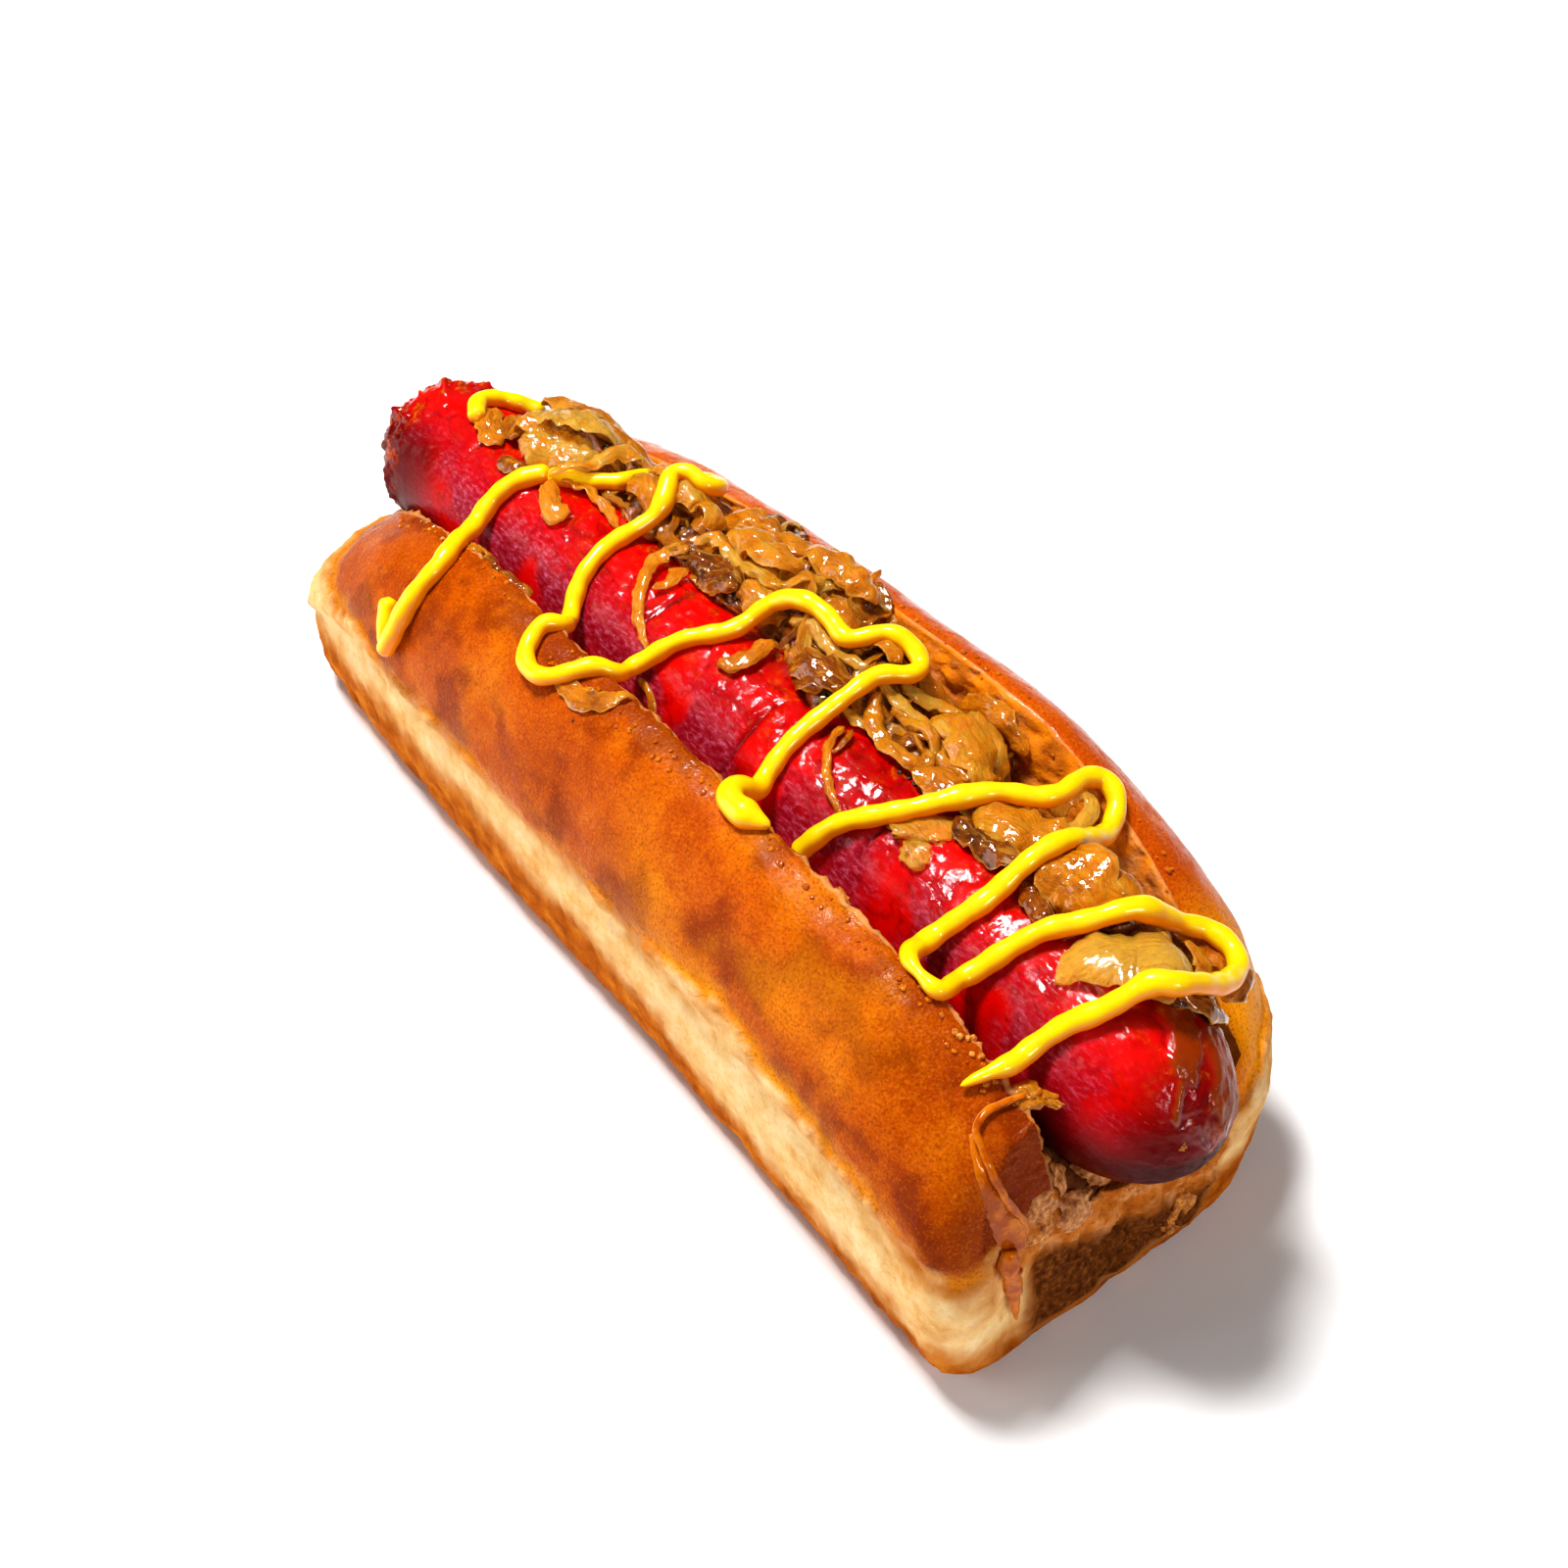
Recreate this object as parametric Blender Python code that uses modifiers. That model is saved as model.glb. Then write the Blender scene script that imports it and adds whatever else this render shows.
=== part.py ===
"""Hot dog: a top-split roll with a sausage, fried onions and a zigzag of mustard.

Row frame: metres, +Z up, origin at the centre of the roll's flat base, +X along the sausage.
"""

import math

import bmesh
import bpy
import numpy as np
from mathutils import Vector
from mathutils.bvhtree import BVHTree

MM = 0.001

# Roll
ROLL_LEFT = -77.0
ROLL_RIGHT = 76.0
ROLL_STATIONS = 34
BASE_ROUND = 4.5
SIDE_RISE = 21.0
CRUST_LIP = 0.7
LEFT_CORNER = 14.0
RIGHT_NEAR_CORNER = 5.0
RIGHT_FAR_CORNER = 15.0
END_TOE = 2.5
END_LEAN = 6.0
DOME_POINTS = 9
SLOT_POINTS = 11

# Roll profiles along X: pairs of (x, value)
NEAR_HALF_WIDTH = ((-77, 25.0), (-60, 26.3), (-32, 27.7), (10, 27.2), (47, 27.7), (76, 28.4))
FAR_HALF_WIDTH = ((-77, 22.0), (-50, 24.5), (0, 26.0), (40, 26.8), (76, 25.4))
NEAR_EDGE_HEIGHT = (
    (-77, 12), (-70, 18), (-64, 25.5), (-58, 30.5), (-46, 36), (-30, 39.5), (52, 40.6), (62, 38.6), (76, 35),
)
FAR_EDGE_HEIGHT = (
    (-77, 14), (-70, 20), (-56, 31), (-41, 36.5), (-20, 40.5),
    (5, 42.5), (25, 44), (40, 43), (60, 35), (76, 21),
)
NEAR_EDGE_REACH = ((-77, 12.0), (-58, 13.6), (-40, 15.3), (76, 15.6))
FAR_EDGE_REACH = ((-77, 12.0), (-50, 15.5), (0, 17.0), (50, 17.0), (76, 15.0))

# Sausage
SAUSAGE_Y = -1.5
SAUSAGE_Z = 30.5
SAUSAGE_RADIUS = 10.9
SAUSAGE_LEFT = -69.5
SAUSAGE_RIGHT = 82.5
LEFT_END_LENGTH = 5.0
RIGHT_END_LENGTH = 15.0
LEFT_END_SLANT = 2.0
SLANT_START = -57.0
SAUSAGE_STEPS = 28

# Toppings
GAP = 0.3
BEAD_RADIUS = 1.3
BEAD_STEP = 2.4
BEAD_RESOLUTION = 2
HEAP_LEFT = -54.0
HEAP_RIGHT = 73.0
HEAP_STATIONS = 48
HEAP_ROWS = 9
HEAP_CROWN = (
    (-54, 5.5), (-48, 8.5), (-41, 6.5), (-32, 2.2), (-22, 1.8),
    (-12, 2.8), (10, 2.6), (30, 2.6), (50, 3.2), (73, 2.5),
)
HEAP_NEAR = (
    (-54, 1), (-50, -1.5), (-36, -2), (-28, 3.5), (-15, 2.5), (0, 4),
    (12, 1.5), (24, 3), (34, 5), (44, 1), (58, 3), (73, 3),
)
HEAP_FAR = (
    (-54, 9), (-48, 13), (-36, 15), (-20, 16), (0, 18),
    (20, 17.5), (40, 16.5), (52, 15), (62, 13), (73, 8),
)

# Turns of the mustard, as (x, y) seen from above
CURL_TURNS = ((-55.0, -2.3), (-58.5, 0.0), (-59.0, 2.6), (-57.2, 6.0))
HOOK_TURNS = (
    (-39.5, -0.5), (-41.0, -6.0), (-41.0, -10.0), (-38.5, -15.0), (-35.8, -19.6), (-35.6, -22.6),
    (-35.9, -25.5), (-36.5, -27.8), (-37.5, -28.7),
)
ZIGZAG_TURNS = (
    (-33.0, 4.5), (-30.0, 9.0), (-26.0, 12.2), (-21.3, 12.6), (-20.8, 9.2), (-21.2, 2.1), (-21.0, -3.9),
    (-19.6, -9.4), (-18.3, -13.0), (-15.8, -16.0), (-13.0, -20.2), (-10.0, -21.4), (-7.0, -19.0),
    (-5.6, -15.5), (-5.0, -11.5), (-3.6, -7.4), (0.6, -1.8), (1.2, 3.5), (6.3, 7.1), (12.2, 8.2),
    (14.0, 11.0), (17.5, 12.3), (20.6, 11.0), (19.2, 7.0), (18.6, 3.3), (19.5, -4.4), (20.2, -10.2),
    (21.5, -14.6), (24.5, -18.0), (27.3, -16.8), (29.5, -13.6), (31.4, -9.6), (35.6, -3.5), (39.2, 3.1),
    (44.0, 8.5), (45.0, 13.5), (46.0, 16.5), (49.0, 15.2), (51.3, 8.8), (51.0, 1.0), (50.6, -5.3),
    (49.0, -10.2), (49.8, -13.4), (52.3, -14.8), (54.2, -12.6), (55.7, -9.5), (57.6, -3.5), (60.1, 1.0),
    (63.0, 8.1), (66.5, 12.0), (71.0, 10.5), (73.2, 6.0), (71.2, -0.1), (67.4, -7.0), (65.9, -10.6),
    (65.8, -14.5), (64.6, -19.6),
)

# Onion pieces that stand apart from the heap
PETAL_SPINE = ((63.6, -4.2), (64.2, 0.0), (65.6, 4.0), (67.8, 7.5))
PETAL_WIDTH = 6.4
PETAL_THICKNESS = 1.4
STRIP_SPINE = (
    (69.4, -15.0, 38.0), (68.6, -20.0, 36.0), (71.6, -20.6, 31.0),
    (74.0, -19.0, 23.0), (75.8, -19.4, 15.0), (76.4, -19.6, 10.5),
)
STRIP_WIDTH = 3.2
STRIP_THICKNESS = 1.0
COLOURS = {
    "bun": ((0.62, 0.25, 0.05, 1.0), 0.45),
    "sausage": ((0.50, 0.02, 0.02, 1.0), 0.3),
    "onions": ((0.55, 0.27, 0.05, 1.0), 0.35),
    "mustard": ((1.0, 0.70, 0.0, 1.0), 0.35),
}


def along(stations, x):
    """A smooth curve through the named stations, read at x."""
    xs = [s[0] for s in stations]
    vs = [s[1] for s in stations]
    if x <= xs[0]:
        return vs[0]
    if x >= xs[-1]:
        return vs[-1]
    i = max(j for j in range(len(xs) - 1) if xs[j] <= x)
    step = xs[i + 1] - xs[i]
    t = (x - xs[i]) / step
    before = max(i - 1, 0)
    after = min(i + 2, len(xs) - 1)
    slope_in = (vs[i + 1] - vs[before]) / (xs[i + 1] - xs[before]) * step
    slope_out = (vs[after] - vs[i]) / (xs[after] - xs[i]) * step
    a = 2 * t**3 - 3 * t**2 + 1
    b = t**3 - 2 * t**2 + t
    c = -2 * t**3 + 3 * t**2
    d = t**3 - t**2
    return a * vs[i] + b * slope_in + c * vs[i + 1] + d * slope_out


def corner(x, end, radius):
    """How far a side has drawn in where it turns the corner at one end."""
    t = 1.0 - abs(end - x) / radius
    if t <= 0:
        return 0.0
    return radius * (1.0 - math.sqrt(max(0.0, 1.0 - t * t)))


def roll_section(x):
    """One closed section of the roll, from the near base edge up, through the slot and down the far side."""
    near = along(NEAR_HALF_WIDTH, x)
    far = along(FAR_HALF_WIDTH, x)
    near -= corner(x, ROLL_LEFT, LEFT_CORNER) + corner(x, ROLL_RIGHT, RIGHT_NEAR_CORNER)
    far -= corner(x, ROLL_LEFT, LEFT_CORNER) + corner(x, ROLL_RIGHT, RIGHT_FAR_CORNER)
    toe = corner(x, ROLL_LEFT, END_TOE) + corner(x, ROLL_RIGHT, END_TOE)
    outer_near = half_outline(near, along(NEAR_EDGE_REACH, x), along(NEAR_EDGE_HEIGHT, x), toe)
    outer_far = half_outline(far, along(FAR_EDGE_REACH, x), along(FAR_EDGE_HEIGHT, x), toe)
    points = [(-y, z) for y, z in outer_near]
    points += slot_outline(x, points[-1], outer_far[-1])
    points += list(reversed(outer_far))
    points.append((0.0, toe))
    return points


def half_outline(width, edge_reach, edge_height, toe):
    """Outer line of one half, from its base to its cut edge."""
    edge_reach = min(edge_reach, width - 3.0)
    rise = min(SIDE_RISE, edge_height * 0.6)
    points = [(width * 0.35, toe)]
    for i in range(4):
        angle = math.radians(30 * i)
        y = width - 0.6 - BASE_ROUND + BASE_ROUND * math.sin(angle)
        points.append((y, toe + BASE_ROUND * (1 - math.cos(angle))))
    points.append((width, toe + rise * 0.5))
    points.append((width - 0.3, rise))
    reach = width + CRUST_LIP - edge_reach
    for i in range(DOME_POINTS):
        angle = math.radians(88 * (1 - i / (DOME_POINTS - 1)))
        y = edge_reach + reach * math.sin(angle)
        points.append((y, rise + 1.0 + (edge_height - rise - 1.0) * math.cos(angle)))
    return points


def slot_outline(x, near_edge, far_edge):
    """The slot between the two cut edges: down the near wall, under the sausage and up the far wall."""
    radius = SAUSAGE_RADIUS + GAP + 0.15
    opening = max(0.0, (x - 62.0) / 14.0)
    radius += 2.0 * opening**2
    floor = SAUSAGE_Z - radius - 1.5 * opening
    ceiling = min(near_edge[1], far_edge[1]) - 0.6
    points = []
    for i in range(SLOT_POINTS):
        angle = math.radians(-172 + 134 * i / (SLOT_POINTS - 1))
        y = SAUSAGE_Y + radius * math.cos(angle)
        z = SAUSAGE_Z + (SAUSAGE_Z - floor) * math.sin(angle)
        y = max(min(y, far_edge[0] - 0.5), near_edge[0] + 0.5)
        points.append((y, min(z, ceiling)))
    last = points[-1]
    wall_y = last[0] * 0.55 + far_edge[0] * 0.45 + 0.6
    wall_z = last[1] * 0.6 + far_edge[1] * 0.4
    points.append((wall_y, min(wall_z, ceiling)))
    return points


def end_shift(x, z):
    """The right end leans back towards its top."""
    if x < 40:
        return 0.0
    rise = min(1.0, max(0.0, (z - 15.0) / 25.0))
    return -END_LEAN * rise * ((x - 40.0) / (ROLL_RIGHT - 40.0)) ** 2


def mesh_object(name, vertices, faces):
    """A named object from metres and faces, with its normals facing out."""
    mesh = bpy.data.meshes.new(name)
    mesh.from_pydata(vertices, [], faces)
    bm = bmesh.new()
    bm.from_mesh(mesh)
    bmesh.ops.remove_doubles(bm, verts=bm.verts, dist=0.00002)
    bmesh.ops.triangulate(bm, faces=bm.faces)
    bmesh.ops.recalc_face_normals(bm, faces=bm.faces)
    bm.to_mesh(mesh)
    bm.free()
    mesh.shade_smooth()
    mesh.set_sharp_from_angle(angle=math.radians(40))
    return bpy.data.objects.new(name, mesh)


def loft(name, rings):
    """A closed solid through rings with the same number of points."""
    count = len(rings[0])
    vertices = [(p[0] * MM, p[1] * MM, p[2] * MM) for ring in rings for p in ring]
    faces = []
    for i in range(len(rings) - 1):
        for j in range(count):
            k = (j + 1) % count
            faces.append((i * count + j, i * count + k, (i + 1) * count + k, (i + 1) * count + j))
    faces.append(tuple(reversed(range(count))))
    faces.append(tuple(range((len(rings) - 1) * count, len(rings) * count)))
    return mesh_object(name, vertices, faces)


def spaced(low, high, count):
    """Positions from low to high, closer together towards both ends."""
    middle = 0.5 * (low + high)
    half = 0.5 * (high - low)
    return [middle - half * math.cos(math.pi * i / (count - 1)) for i in range(count)]


def build_roll():
    """The roll, split from the top and open at both ends of its slot."""
    even = [ROLL_LEFT + (ROLL_RIGHT - ROLL_LEFT) * i / (ROLL_STATIONS - 1) for i in range(ROLL_STATIONS)]
    dense = spaced(ROLL_LEFT, ROLL_RIGHT, ROLL_STATIONS)
    rings = []
    for a, b in zip(even, dense):
        x = 0.45 * a + 0.55 * b
        rings.append([(x + end_shift(x, z), y, z) for y, z in roll_section(x)])
    return loft("bun", rings)


def sausage_radius(x):
    """Radius of the sausage at x, with a blunt left end and a longer rounded right end."""
    radius = SAUSAGE_RADIUS - 0.4 * max(0.0, (-50.0 - x) / 24.0)
    radius += 0.12 * math.sin(x / 9.0) * (1.0 if abs(x) < 60 else 0.4)
    left = (x - SAUSAGE_LEFT) / LEFT_END_LENGTH
    right = (SAUSAGE_RIGHT - x) / RIGHT_END_LENGTH
    if left < 1:
        radius *= max(0.0, 1 - (1 - left) ** 2.6) ** 0.5
    if right < 1:
        radius *= max(0.0, 1 - (1 - right) ** 2.2) ** 0.5
    return radius


def build_sausage():
    """The sausage, a turned shape."""
    xs = [SAUSAGE_LEFT + LEFT_END_LENGTH * (i / 6) ** 1.8 for i in range(6)]
    inner_left = SAUSAGE_LEFT + LEFT_END_LENGTH
    inner_right = SAUSAGE_RIGHT - RIGHT_END_LENGTH
    xs += [inner_left + (inner_right - inner_left) * i / 16 for i in range(16)]
    xs += [SAUSAGE_RIGHT - RIGHT_END_LENGTH * (1 - i / 8) ** 1.8 for i in range(9)]
    profile = bpy.data.meshes.new("sausage_profile")
    vertices = [(x * MM, 0.0, sausage_radius(x) * MM) for x in xs]
    profile.from_pydata(vertices, [(i, i + 1) for i in range(len(xs) - 1)], [])
    turned = bpy.data.objects.new("sausage", profile)
    bpy.context.scene.collection.objects.link(turned)
    screw = turned.modifiers.new("turn", "SCREW")
    screw.axis = "X"
    screw.steps = SAUSAGE_STEPS
    screw.render_steps = SAUSAGE_STEPS
    screw.use_merge_vertices = True
    screw.merge_threshold = 0.00001
    bpy.context.view_layer.update()
    graph = bpy.context.evaluated_depsgraph_get()
    mesh = bpy.data.meshes.new_from_object(turned.evaluated_get(graph))
    bpy.data.objects.remove(turned)
    vertices = []
    for v in mesh.vertices:
        slant = max(0.0, (SLANT_START - v.co.x / MM) / (SLANT_START - SAUSAGE_LEFT)) ** 2
        x = v.co.x - LEFT_END_SLANT * slant * v.co.z / SAUSAGE_RADIUS
        vertices.append((x, v.co.y + SAUSAGE_Y * MM, v.co.z + SAUSAGE_Z * MM))
    return mesh_object("sausage", vertices, [tuple(p.vertices) for p in mesh.polygons])


class Surface:
    """The upper surface of some solids as heights over a grid, in millimetres."""

    LOW_X, LOW_Y, PITCH = -92.0, -34.0, 0.5
    COUNT_X, COUNT_Y = 361, 137

    def __init__(self, objects):
        trees = []
        for obj in objects:
            bm = bmesh.new()
            bm.from_mesh(obj.data)
            trees.append(BVHTree.FromBMesh(bm))
            bm.free()
        self.height = np.full((self.COUNT_X, self.COUNT_Y), 0.0)
        down = Vector((0, 0, -1))
        for i in range(self.COUNT_X):
            for j in range(self.COUNT_Y):
                x = (self.LOW_X + i * self.PITCH) * MM
                y = (self.LOW_Y + j * self.PITCH) * MM
                for tree in trees:
                    hit = tree.ray_cast(Vector((x, y, 0.1)), down)
                    if hit[0] is not None:
                        self.height[i, j] = max(self.height[i, j], hit[0].z / MM)

    def over(self, radius):
        """Heights of the centre of a ball that rests on the surface."""
        reach = int(math.ceil(radius / self.PITCH))
        result = self.height.copy()
        padded = np.pad(self.height, reach, mode="edge")
        for i in range(-reach, reach + 1):
            for j in range(-reach, reach + 1):
                flat = (i * self.PITCH) ** 2 + (j * self.PITCH) ** 2
                if flat > radius * radius:
                    continue
                part = padded[reach + i:reach + i + self.COUNT_X, reach + j:reach + j + self.COUNT_Y]
                result = np.maximum(result, part + math.sqrt(radius * radius - flat))
        return result

    def read(self, grid, x, y):
        """A grid's value at x and y."""
        u = min(max((x - self.LOW_X) / self.PITCH, 0.0), self.COUNT_X - 1.001)
        v = min(max((y - self.LOW_Y) / self.PITCH, 0.0), self.COUNT_Y - 1.001)
        i, j = int(u), int(v)
        a, b = u - i, v - j
        low = grid[i, j] * (1 - b) + grid[i, j + 1] * b
        high = grid[i + 1, j] * (1 - b) + grid[i + 1, j + 1] * b
        return low * (1 - a) + high * a


def build_heap(base):
    """The onions as one solid between the sausage and the far half of the roll."""
    floor = base.over(GAP + 0.6)
    rings = []
    for i in range(HEAP_STATIONS):
        t = i / (HEAP_STATIONS - 1)
        x = HEAP_LEFT + (HEAP_RIGHT - HEAP_LEFT) * t
        wander = 1.3 * math.sin(x / 3.1) + 0.9 * math.sin(x / 1.7 + 1.0)
        near = along(HEAP_NEAR, x) + wander * 0.7
        far = along(HEAP_FAR, x) + 0.8 * math.sin(x / 2.3)
        fade = min(1.0, 0.35 + 3.5 * min(t, 1 - t) * 2)
        crown = along(HEAP_CROWN, x) * fade * (1 + 0.22 * math.sin(x / 4.3 + 0.6))
        under = []
        upper = []
        for j in range(HEAP_ROWS + 1):
            s = j / HEAP_ROWS
            y = near + (far - near) * s
            z = max(base.read(floor, x, y), 33.0)
            under.append((x, y, z))
        ends = (under[0][2], under[-1][2])
        for j in range(HEAP_ROWS + 1):
            s = j / HEAP_ROWS
            y = under[j][1]
            ripple = 0.5 * math.sin(x / 2.9 + 5 * s) * math.sin(math.pi * s)
            z = ends[0] * (1 - s) + ends[1] * s + 0.9 + crown * 4 * s * (1 - s) + ripple
            upper.append((x, y, max(z, under[j][2] + 0.7)))
        rings.append(upper + list(reversed(under)))
    return loft("onions", rings)


def smooth_path(turns, step):
    """Points at an even step along a curve through the turns."""
    padded = [turns[0], *turns, turns[-1]]
    fine = []
    for i in range(1, len(padded) - 2):
        p0, p1, p2, p3 = (np.array(padded[i + k], float) for k in (-1, 0, 1, 2))
        for k in range(20):
            t = k / 20
            fine.append(0.5 * (2 * p1 + (p2 - p0) * t + (2 * p0 - 5 * p1 + 4 * p2 - p3) * t * t
                               + (3 * p1 - p0 - 3 * p2 + p3) * t**3))
    fine.append(np.array(turns[-1], float))
    return resample(fine, step)


def resample(points, step):
    """The same line at an even step."""
    points = [np.array(p, float) for p in points]
    lengths = [0.0]
    for a, b in zip(points, points[1:]):
        lengths.append(lengths[-1] + float(np.linalg.norm(b - a)))
    count = max(3, int(round(lengths[-1] / step)) + 1)
    result = []
    for i in range(count):
        at = lengths[-1] * i / (count - 1)
        k = min(max(int(np.searchsorted(lengths, at)) - 1, 0), len(points) - 2)
        span = max(lengths[k + 1] - lengths[k], 1e-9)
        t = (at - lengths[k]) / span
        result.append(points[k] * (1 - t) + points[k + 1] * t)
    return result


def relax(points, passes):
    """The same line with its sharpest turns eased and its ends kept."""
    for _ in range(passes):
        inner = [0.5 * points[i] + 0.25 * (points[i - 1] + points[i + 1]) for i in range(1, len(points) - 1)]
        points = [points[0], *inner, points[-1]]
    return points


def build_bead(name, turns, base, radius):
    """A bead of mustard that rests on what is under it."""
    rest = base.over(radius + GAP + 0.2)
    flat = relax(smooth_path(turns, 0.4), 24)
    lowest = [base.read(rest, p[0], p[1]) for p in flat]
    heights = list(lowest)
    for _ in range(30):
        inner = [max(lowest[i], 0.5 * (heights[i - 1] + heights[i + 1])) for i in range(1, len(heights) - 1)]
        heights = [heights[0], *inner, heights[-1]]
    line = resample([(p[0], p[1], z) for p, z in zip(flat, heights)], BEAD_STEP)
    return tube(name, line, radius)


def tube(name, line, radius):
    """A round bead with filled ends along a line, a little uneven and narrower at both ends."""
    curve = bpy.data.curves.new(name, "CURVE")
    curve.dimensions = "3D"
    curve.bevel_depth = radius * MM
    curve.bevel_resolution = BEAD_RESOLUTION
    curve.use_fill_caps = True
    spline = curve.splines.new("POLY")
    spline.points.add(len(line) - 1)
    for i, p in enumerate(line):
        spline.points[i].co = (p[0] * MM, p[1] * MM, p[2] * MM, 1.0)
        end = min(i, len(line) - 1 - i)
        spline.points[i].radius = (0.94 + 0.06 * math.sin(1.9 * i)) * (0.6 if end == 0 else 1.0)
    guide = bpy.data.objects.new(name, curve)
    bpy.context.scene.collection.objects.link(guide)
    bpy.context.view_layer.update()
    graph = bpy.context.evaluated_depsgraph_get()
    mesh = bpy.data.meshes.new_from_object(guide.evaluated_get(graph))
    bpy.data.objects.remove(guide)
    vertices = [tuple(v.co) for v in mesh.vertices]
    return mesh_object(name, vertices, [tuple(p.vertices) for p in mesh.polygons])


def build_ribbon(name, line, normals, widths, thickness):
    """A leaf or ribbon with a rounded lens section along a line."""
    rings = []
    for i, p in enumerate(line):
        ahead = Vector(line[min(i + 1, len(line) - 1)] - line[max(i - 1, 0)]).normalized()
        side = ahead.cross(normals[i]).normalized()
        lift = side.cross(ahead).normalized()
        ring = []
        for k in range(10):
            angle = 2 * math.pi * k / 10
            across = 0.5 * widths[i] * math.cos(angle)
            up = 0.5 * thickness * math.sin(angle)
            ring.append(tuple(Vector(p) + side * across + lift * up))
        rings.append(ring)
    return loft(name, rings)


def build_petal(base):
    """The broad pale onion petal that lies across the sausage's right end."""
    rest = base.over(PETAL_WIDTH * 0.5)
    flat = smooth_path(PETAL_SPINE, 1.3)
    count = len(flat) - 1
    line = []
    widths = []
    normals = []
    for i, p in enumerate(flat):
        height = base.read(rest, p[0], p[1]) - PETAL_WIDTH * 0.5
        line.append(np.array((p[0], p[1], height + PETAL_THICKNESS * 0.5 + GAP + 0.45)))
        widths.append(PETAL_WIDTH * max(0.25, math.sin(math.pi * (0.08 + 0.84 * i / count)) ** 0.8))
        normals.append(Vector((0, 0, 1)))
    return build_ribbon("onion_petal", line, normals, widths, PETAL_THICKNESS)


def build_strip(bun):
    """The strand that hangs down the right end of the near half."""
    bm = bmesh.new()
    bm.from_mesh(bun.data)
    tree = BVHTree.FromBMesh(bm)
    bm.free()
    line = []
    widths = []
    normals = []
    spine = smooth_path(STRIP_SPINE, 2.0)
    for i, p in enumerate(spine):
        spot, normal, _, _ = tree.find_nearest(Vector(p) * MM)
        away = normal.normalized()
        line.append(np.array(spot / MM + away * (STRIP_THICKNESS * 0.5 + GAP + 0.35)))
        widths.append(STRIP_WIDTH * (1.0 - 0.55 * abs(2 * i / (len(spine) - 1) - 1) ** 3))
        normals.append(away)
    return build_ribbon("onion_strip", line, normals, widths, STRIP_THICKNESS)


def dress(obj, slot, collection):
    """The object's material and collection."""
    material = bpy.data.materials.get(slot) or bpy.data.materials.new(slot)
    material.use_nodes = True
    shader = material.node_tree.nodes["Principled BSDF"]
    colour, roughness = COLOURS[slot]
    shader.inputs["Base Color"].default_value = colour
    shader.inputs["Roughness"].default_value = roughness
    shader.inputs["Metallic"].default_value = 0.0
    obj.data.materials.clear()
    obj.data.materials.append(material)
    collection.objects.link(obj)


def main():
    """Build every piece."""
    for obj in list(bpy.data.objects):
        bpy.data.objects.remove(obj)
    collection = bpy.data.collections.new("hot_dog")
    bpy.context.scene.collection.children.link(collection)
    bun = build_roll()
    sausage = build_sausage()
    base = Surface([bun, sausage])
    heap = build_heap(base)
    topped = Surface([bun, sausage, heap])
    dress(bun, "bun", collection)
    dress(sausage, "sausage", collection)
    dress(heap, "onions", collection)
    petal = build_petal(topped)
    dress(petal, "onions", collection)
    topped = Surface([bun, sausage, heap, petal])
    dress(build_strip(bun), "onions", collection)
    dress(build_bead("mustard_curl", CURL_TURNS, topped, BEAD_RADIUS), "mustard", collection)
    dress(build_bead("mustard_hook", HOOK_TURNS, topped, BEAD_RADIUS), "mustard", collection)
    dress(build_bead("mustard_zigzag", ZIGZAG_TURNS, topped, BEAD_RADIUS), "mustard", collection)


main()
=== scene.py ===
"""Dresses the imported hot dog: a top-split roll, a glazed sausage, fried onions and beads of mustard.

Sizes are millimetres in the row frame (+X along the sausage, +Z up) and turn to metres in the meshes.
"""

import logging
import math
from dataclasses import dataclass, field
from enum import Enum
from typing import Any, Sequence

import bmesh
import bpy
import numpy as np
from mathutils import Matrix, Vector, noise
from mathutils.bvhtree import BVHTree


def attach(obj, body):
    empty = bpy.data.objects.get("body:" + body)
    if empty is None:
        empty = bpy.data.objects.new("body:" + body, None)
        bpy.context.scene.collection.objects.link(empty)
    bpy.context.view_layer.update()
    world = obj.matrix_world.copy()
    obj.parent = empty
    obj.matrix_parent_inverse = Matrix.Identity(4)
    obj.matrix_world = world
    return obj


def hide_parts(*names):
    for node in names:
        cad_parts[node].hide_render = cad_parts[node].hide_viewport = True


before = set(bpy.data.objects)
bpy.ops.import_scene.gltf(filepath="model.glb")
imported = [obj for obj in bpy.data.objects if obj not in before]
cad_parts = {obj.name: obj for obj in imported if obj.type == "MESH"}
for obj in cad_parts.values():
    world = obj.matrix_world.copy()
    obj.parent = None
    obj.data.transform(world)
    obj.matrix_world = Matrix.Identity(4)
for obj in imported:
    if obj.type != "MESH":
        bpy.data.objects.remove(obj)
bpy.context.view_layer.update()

MM = 0.001
LOG = logging.getLogger("hot_dog")
Stations = tuple[tuple[float, float], ...]
Point = tuple[float, float, float]


# ---------------------------------------------------------------- numbers and meshes


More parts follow.
